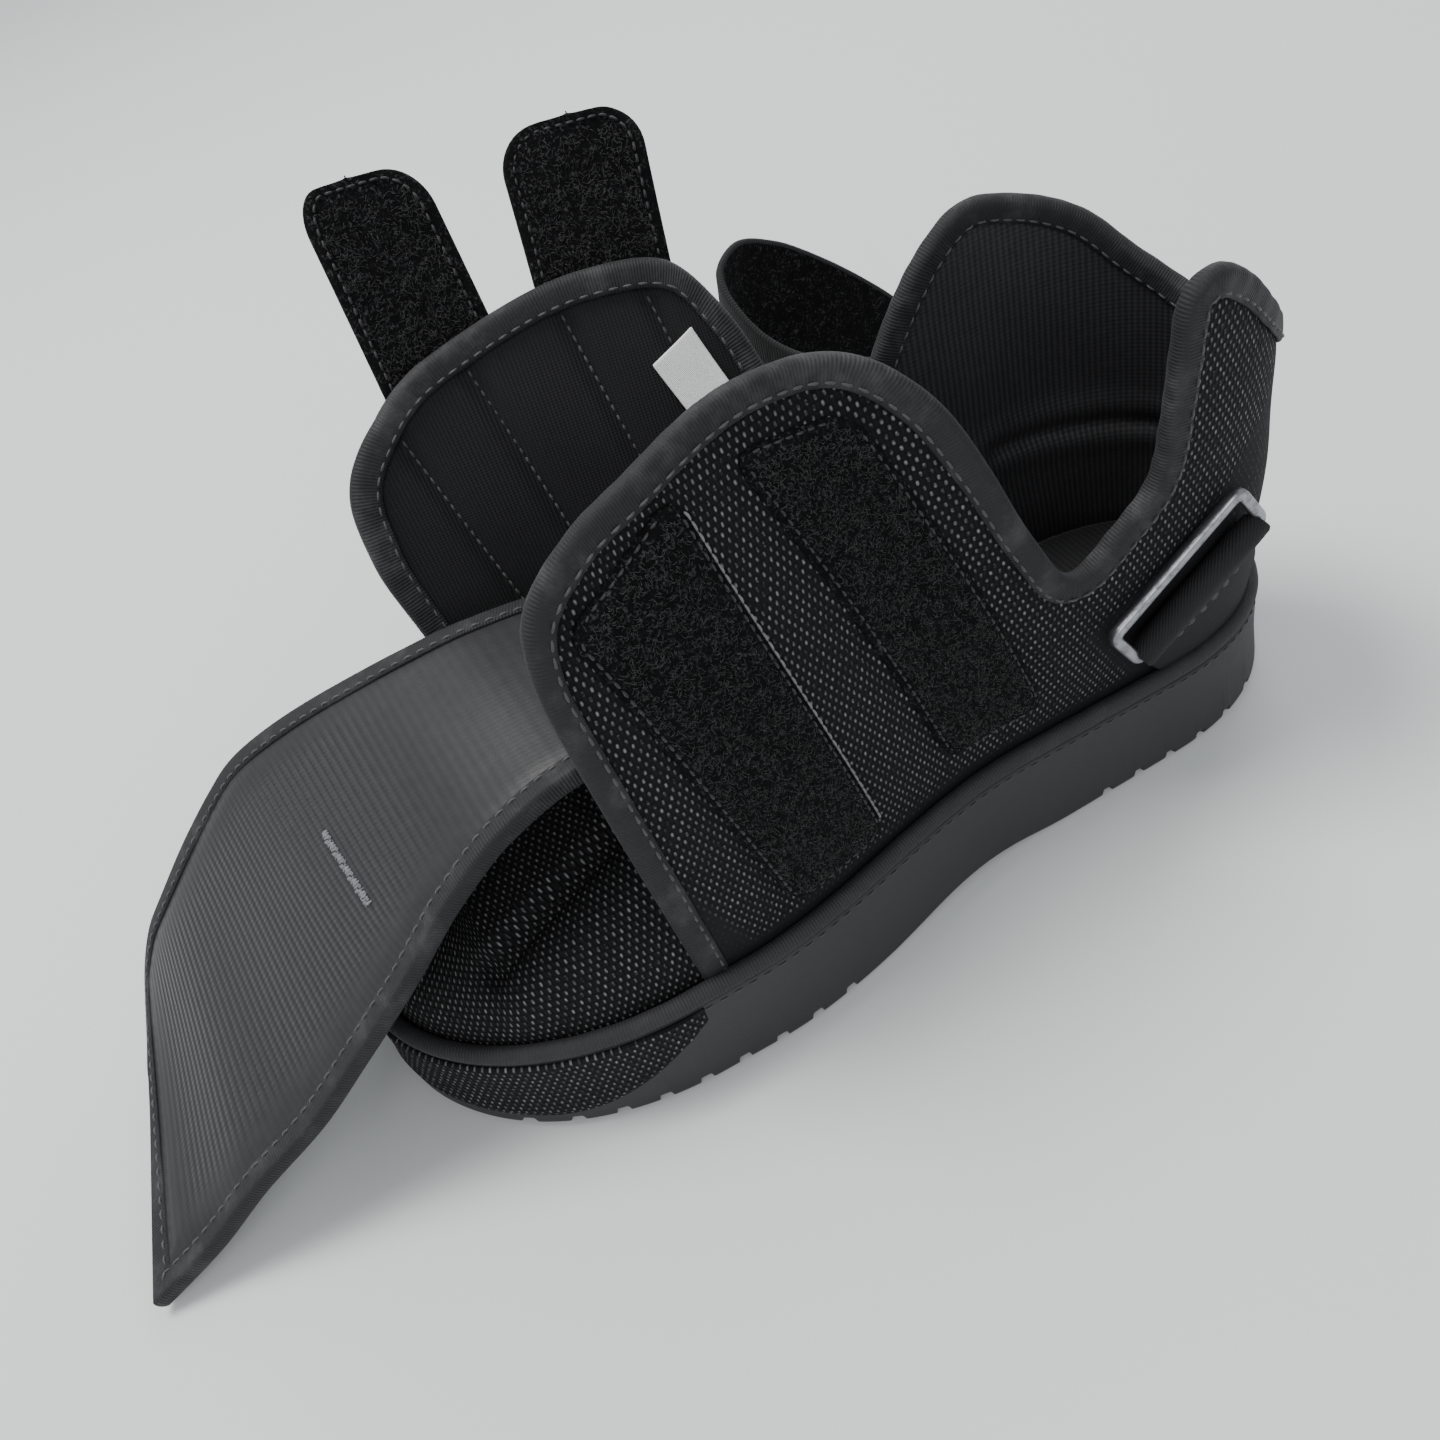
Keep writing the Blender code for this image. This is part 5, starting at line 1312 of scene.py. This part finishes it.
def build_label(context):
    """A bare satin label, folded at its sewn edge and lifting a little at its free end."""
    look = finishes(context)
    station, share = LABEL
    girth = girth_of(station, -1)
    height = sole_top(station * LENGTH) + share * INNER_FLAP_HEIGHT
    tilt = math.radians(LABEL_TILT)
    x = np.linspace(0.5, -0.5, 30)[:, None] * LABEL_WIDTH
    y = np.linspace(-0.5, 0.5, 40)[None, :] * LABEL_HEIGHT
    g = girth + x * math.cos(tilt) - y * math.sin(tilt)
    h = height + x * math.sin(tilt) + y * math.cos(tilt)
    lift = 0.5 + 0.9 * smooth((LABEL_HEIGHT / 2 - y) / LABEL_HEIGHT) ** 2 + 0.12 * np.sin(x * 0.7)
    front = wall_point(g, h, -UPPER_WALL - lift - 0.35)
    back = wall_point(g, h, -UPPER_WALL - lift + 0.05)
    uv = cloth_uv(x, y)
    piece = slab("plain_label", front, back, uv, 1)
    dress(piece, "shoe", "label_cloth", look["label"], look["label"], replaces=["size_label"])


def build_insole(context):
    """The footbed: a flat pad inside the outline with a softly rounded and dished top."""
    inset = UPPER_INSET + CAP_STEP + CAP_WALL + 0.6
    way = np.linspace(0.012, 0.988, 120) * np.pi
    station = LENGTH * (1 - np.cos(way)) / 2
    sides = [edge_point(girth_of(station / LENGTH, side), inset) for side in (1, -1)]
    t = np.linspace(-1, 1, 50)[None, :]
    near, far = (np.stack(s, axis=-1)[:, None, :] for s in sides)
    place = (near + far) / 2 + (near - far) / 2 * t[..., None]
    edge = 1 - np.clip(1 - (1 - np.abs(t)) * 6, 0, 1) ** 2
    ends = 1 - np.clip(1 - np.minimum(station, LENGTH - station) / 14, 0, 1)[:, None] ** 2
    base = sole_top(place[..., 1]) + GAP
    dish = 0.8 * (1 - t ** 2) * np.exp(-((station - 40) / 30) ** 2)[:, None]
    top = base + INSOLE_THICKNESS * (0.55 + 0.45 * np.minimum(edge, ends)) - dish
    front = to_world(place[..., 0], place[..., 1], top)
    back = to_world(place[..., 0], place[..., 1], base)
    uv = place / 10
    bed = slab("footbed", front, back, uv, 2)
    look = finishes(context)["insole"]
    dress(bed, "shoe", "insole_cloth", look, look, replaces=["insole"])


def build_stage(context):
    """Pale floor, soft studio light, and the camera at the photograph's angle."""
    hue = context.scene.shoe_colours
    n = Nodes("pale_floor")
    n.finish(tuple(hue.floor), 0.9, specular=0.2)
    size = 6000.0
    corner = np.array([[-size, -size, -0.1], [size, -size, -0.1], [size, size, -0.1], [-size, size, -0.1]])
    floor = mesh_object("floor", corner, [[0, 1, 2, 3]])
    floor.data.materials.append(n.material)
    world = bpy.data.worlds.new("studio")
    world.use_nodes = True
    sky = world.node_tree.nodes["Background"]
    sky.inputs[0].default_value = (0.93, 0.97, 1.0, 1.0)
    sky.inputs[1].default_value = 0.62
    context.scene.world = world
    lights = (
        # name, place, power, size, colour
        ("key", (-0.45, -0.55, 1.5), 30.0, 0.7, (1.0, 0.99, 0.97)),
        ("rim", (-0.9, 0.8, 1.0), 9.0, 0.9, (0.95, 0.98, 1.0)),
        ("fill", (1.2, -0.5, 1.0), 11.0, 1.2, (1.0, 1.0, 1.0)),
    )
    for name, place, power, wide, colour in lights:
        light = bpy.data.lights.new(name, "AREA")
        light.energy, light.size, light.color = power, wide, colour
        lamp = bpy.data.objects.new(name, light)
        lamp.location = place
        aim = Vector((0.0, -0.08, 0.05)) - Vector(place)
        lamp.rotation_euler = aim.to_track_quat("-Z", "Y").to_euler()
        context.scene.collection.objects.link(lamp)
    azimuth, elevation, roll = (math.radians(a) for a in (75.03, 44.33, -18.11))
    back = np.array([math.sin(azimuth) * math.cos(elevation), -math.cos(azimuth) * math.cos(elevation),
                     math.sin(elevation)])
    right = np.array([math.cos(azimuth), math.sin(azimuth), 0.0])
    over = np.cross(back, right)
    x = right * math.cos(roll) + over * math.sin(roll)
    y = -right * math.sin(roll) + over * math.cos(roll)
    place = (np.array([-45.49, -94.75, 8.88]) + back * 377.74) * MM
    camera = bpy.data.cameras.new("camera")
    camera.sensor_width, camera.lens = 36.0, 33.25
    camera.clip_start, camera.clip_end = 0.01, 50.0
    eye = bpy.data.objects.new("camera", camera)
    turned = np.stack([x, y, back, place], axis=1).tolist()
    eye.matrix_world = Matrix(turned + [[0, 0, 0, 1]])
    context.scene.collection.objects.link(eye)
    context.scene.camera = eye


def piece_operator(name, label, text, build):
    """An operator that builds one group of pieces."""
    def execute(self, context):
        build(context)
        return {"FINISHED"}

    return type(f"SHOE_OT_{name}", (bpy.types.Operator,), {
        "__doc__": text, "bl_idname": f"shoe.{name}", "bl_label": label, "bl_options": {"REGISTER", "UNDO"},
        "execute": execute,
    })


OPERATORS = [piece_operator(*row) for row in (
    ("stage", "Stage", "Pale floor, soft light and camera", build_stage),
    ("sole", "Sole", "Foam sole with its tread and the mesh round its front", build_sole),
    ("piping", "Piping", "Cloth roll round the top of the sole", build_piping),
    ("upper", "Upper", "Mesh wall and its lining", build_upper),
    ("cap", "Toe cap", "Folded mesh over the toes", build_cap),
    ("binding", "Edge tape", "Tape and stitches round the flaps and the top", build_binding),
    ("tongue", "Tongue", "Padded tongue with its taped edge", build_tongue),
    ("fasteners", "Bands and straps", "Loop bands, instep straps and quilting thread", build_fasteners),
    ("ankle_strap", "Ankle strap", "Long strap from the heel", build_ankle_strap),
    ("ring", "Ring", "Wire ring", build_ring),
    ("webbing", "Webbing", "Webbing that holds the ring", build_webbing),
    ("label", "Label", "Bare sewn label", build_label),
    ("insole", "Insole", "Footbed", build_insole),
)]


class SHOE_PT_pieces(bpy.types.Panel):
    """Lists the shoe's pieces, sizes and colours."""
    bl_label = "Post operative shoe"
    bl_idname = "SHOE_PT_pieces"
    bl_space_type = "VIEW_3D"
    bl_region_type = "UI"
    bl_category = "Shoe"

    def draw(self, context):
        for made in OPERATORS:
            self.layout.operator(made.bl_idname)
        for group in (context.scene.shoe_sizes, context.scene.shoe_colours):
            for name in group.__annotations__:
                self.layout.prop(group, name)


CLASSES = [ShoeSizes, ShoeColours, *OPERATORS, SHOE_PT_pieces]


def register():
    for made in CLASSES:
        bpy.utils.register_class(made)
    bpy.types.Scene.shoe_sizes = PointerProperty(type=ShoeSizes)
    bpy.types.Scene.shoe_colours = PointerProperty(type=ShoeColours)


def unregister():
    del bpy.types.Scene.shoe_colours
    del bpy.types.Scene.shoe_sizes
    for made in reversed(CLASSES):
        bpy.utils.unregister_class(made)


def main():
    register()
    for made in OPERATORS:
        getattr(bpy.ops.shoe, made.bl_idname.split(".")[1])()


if __name__ == "__main__":
    main()
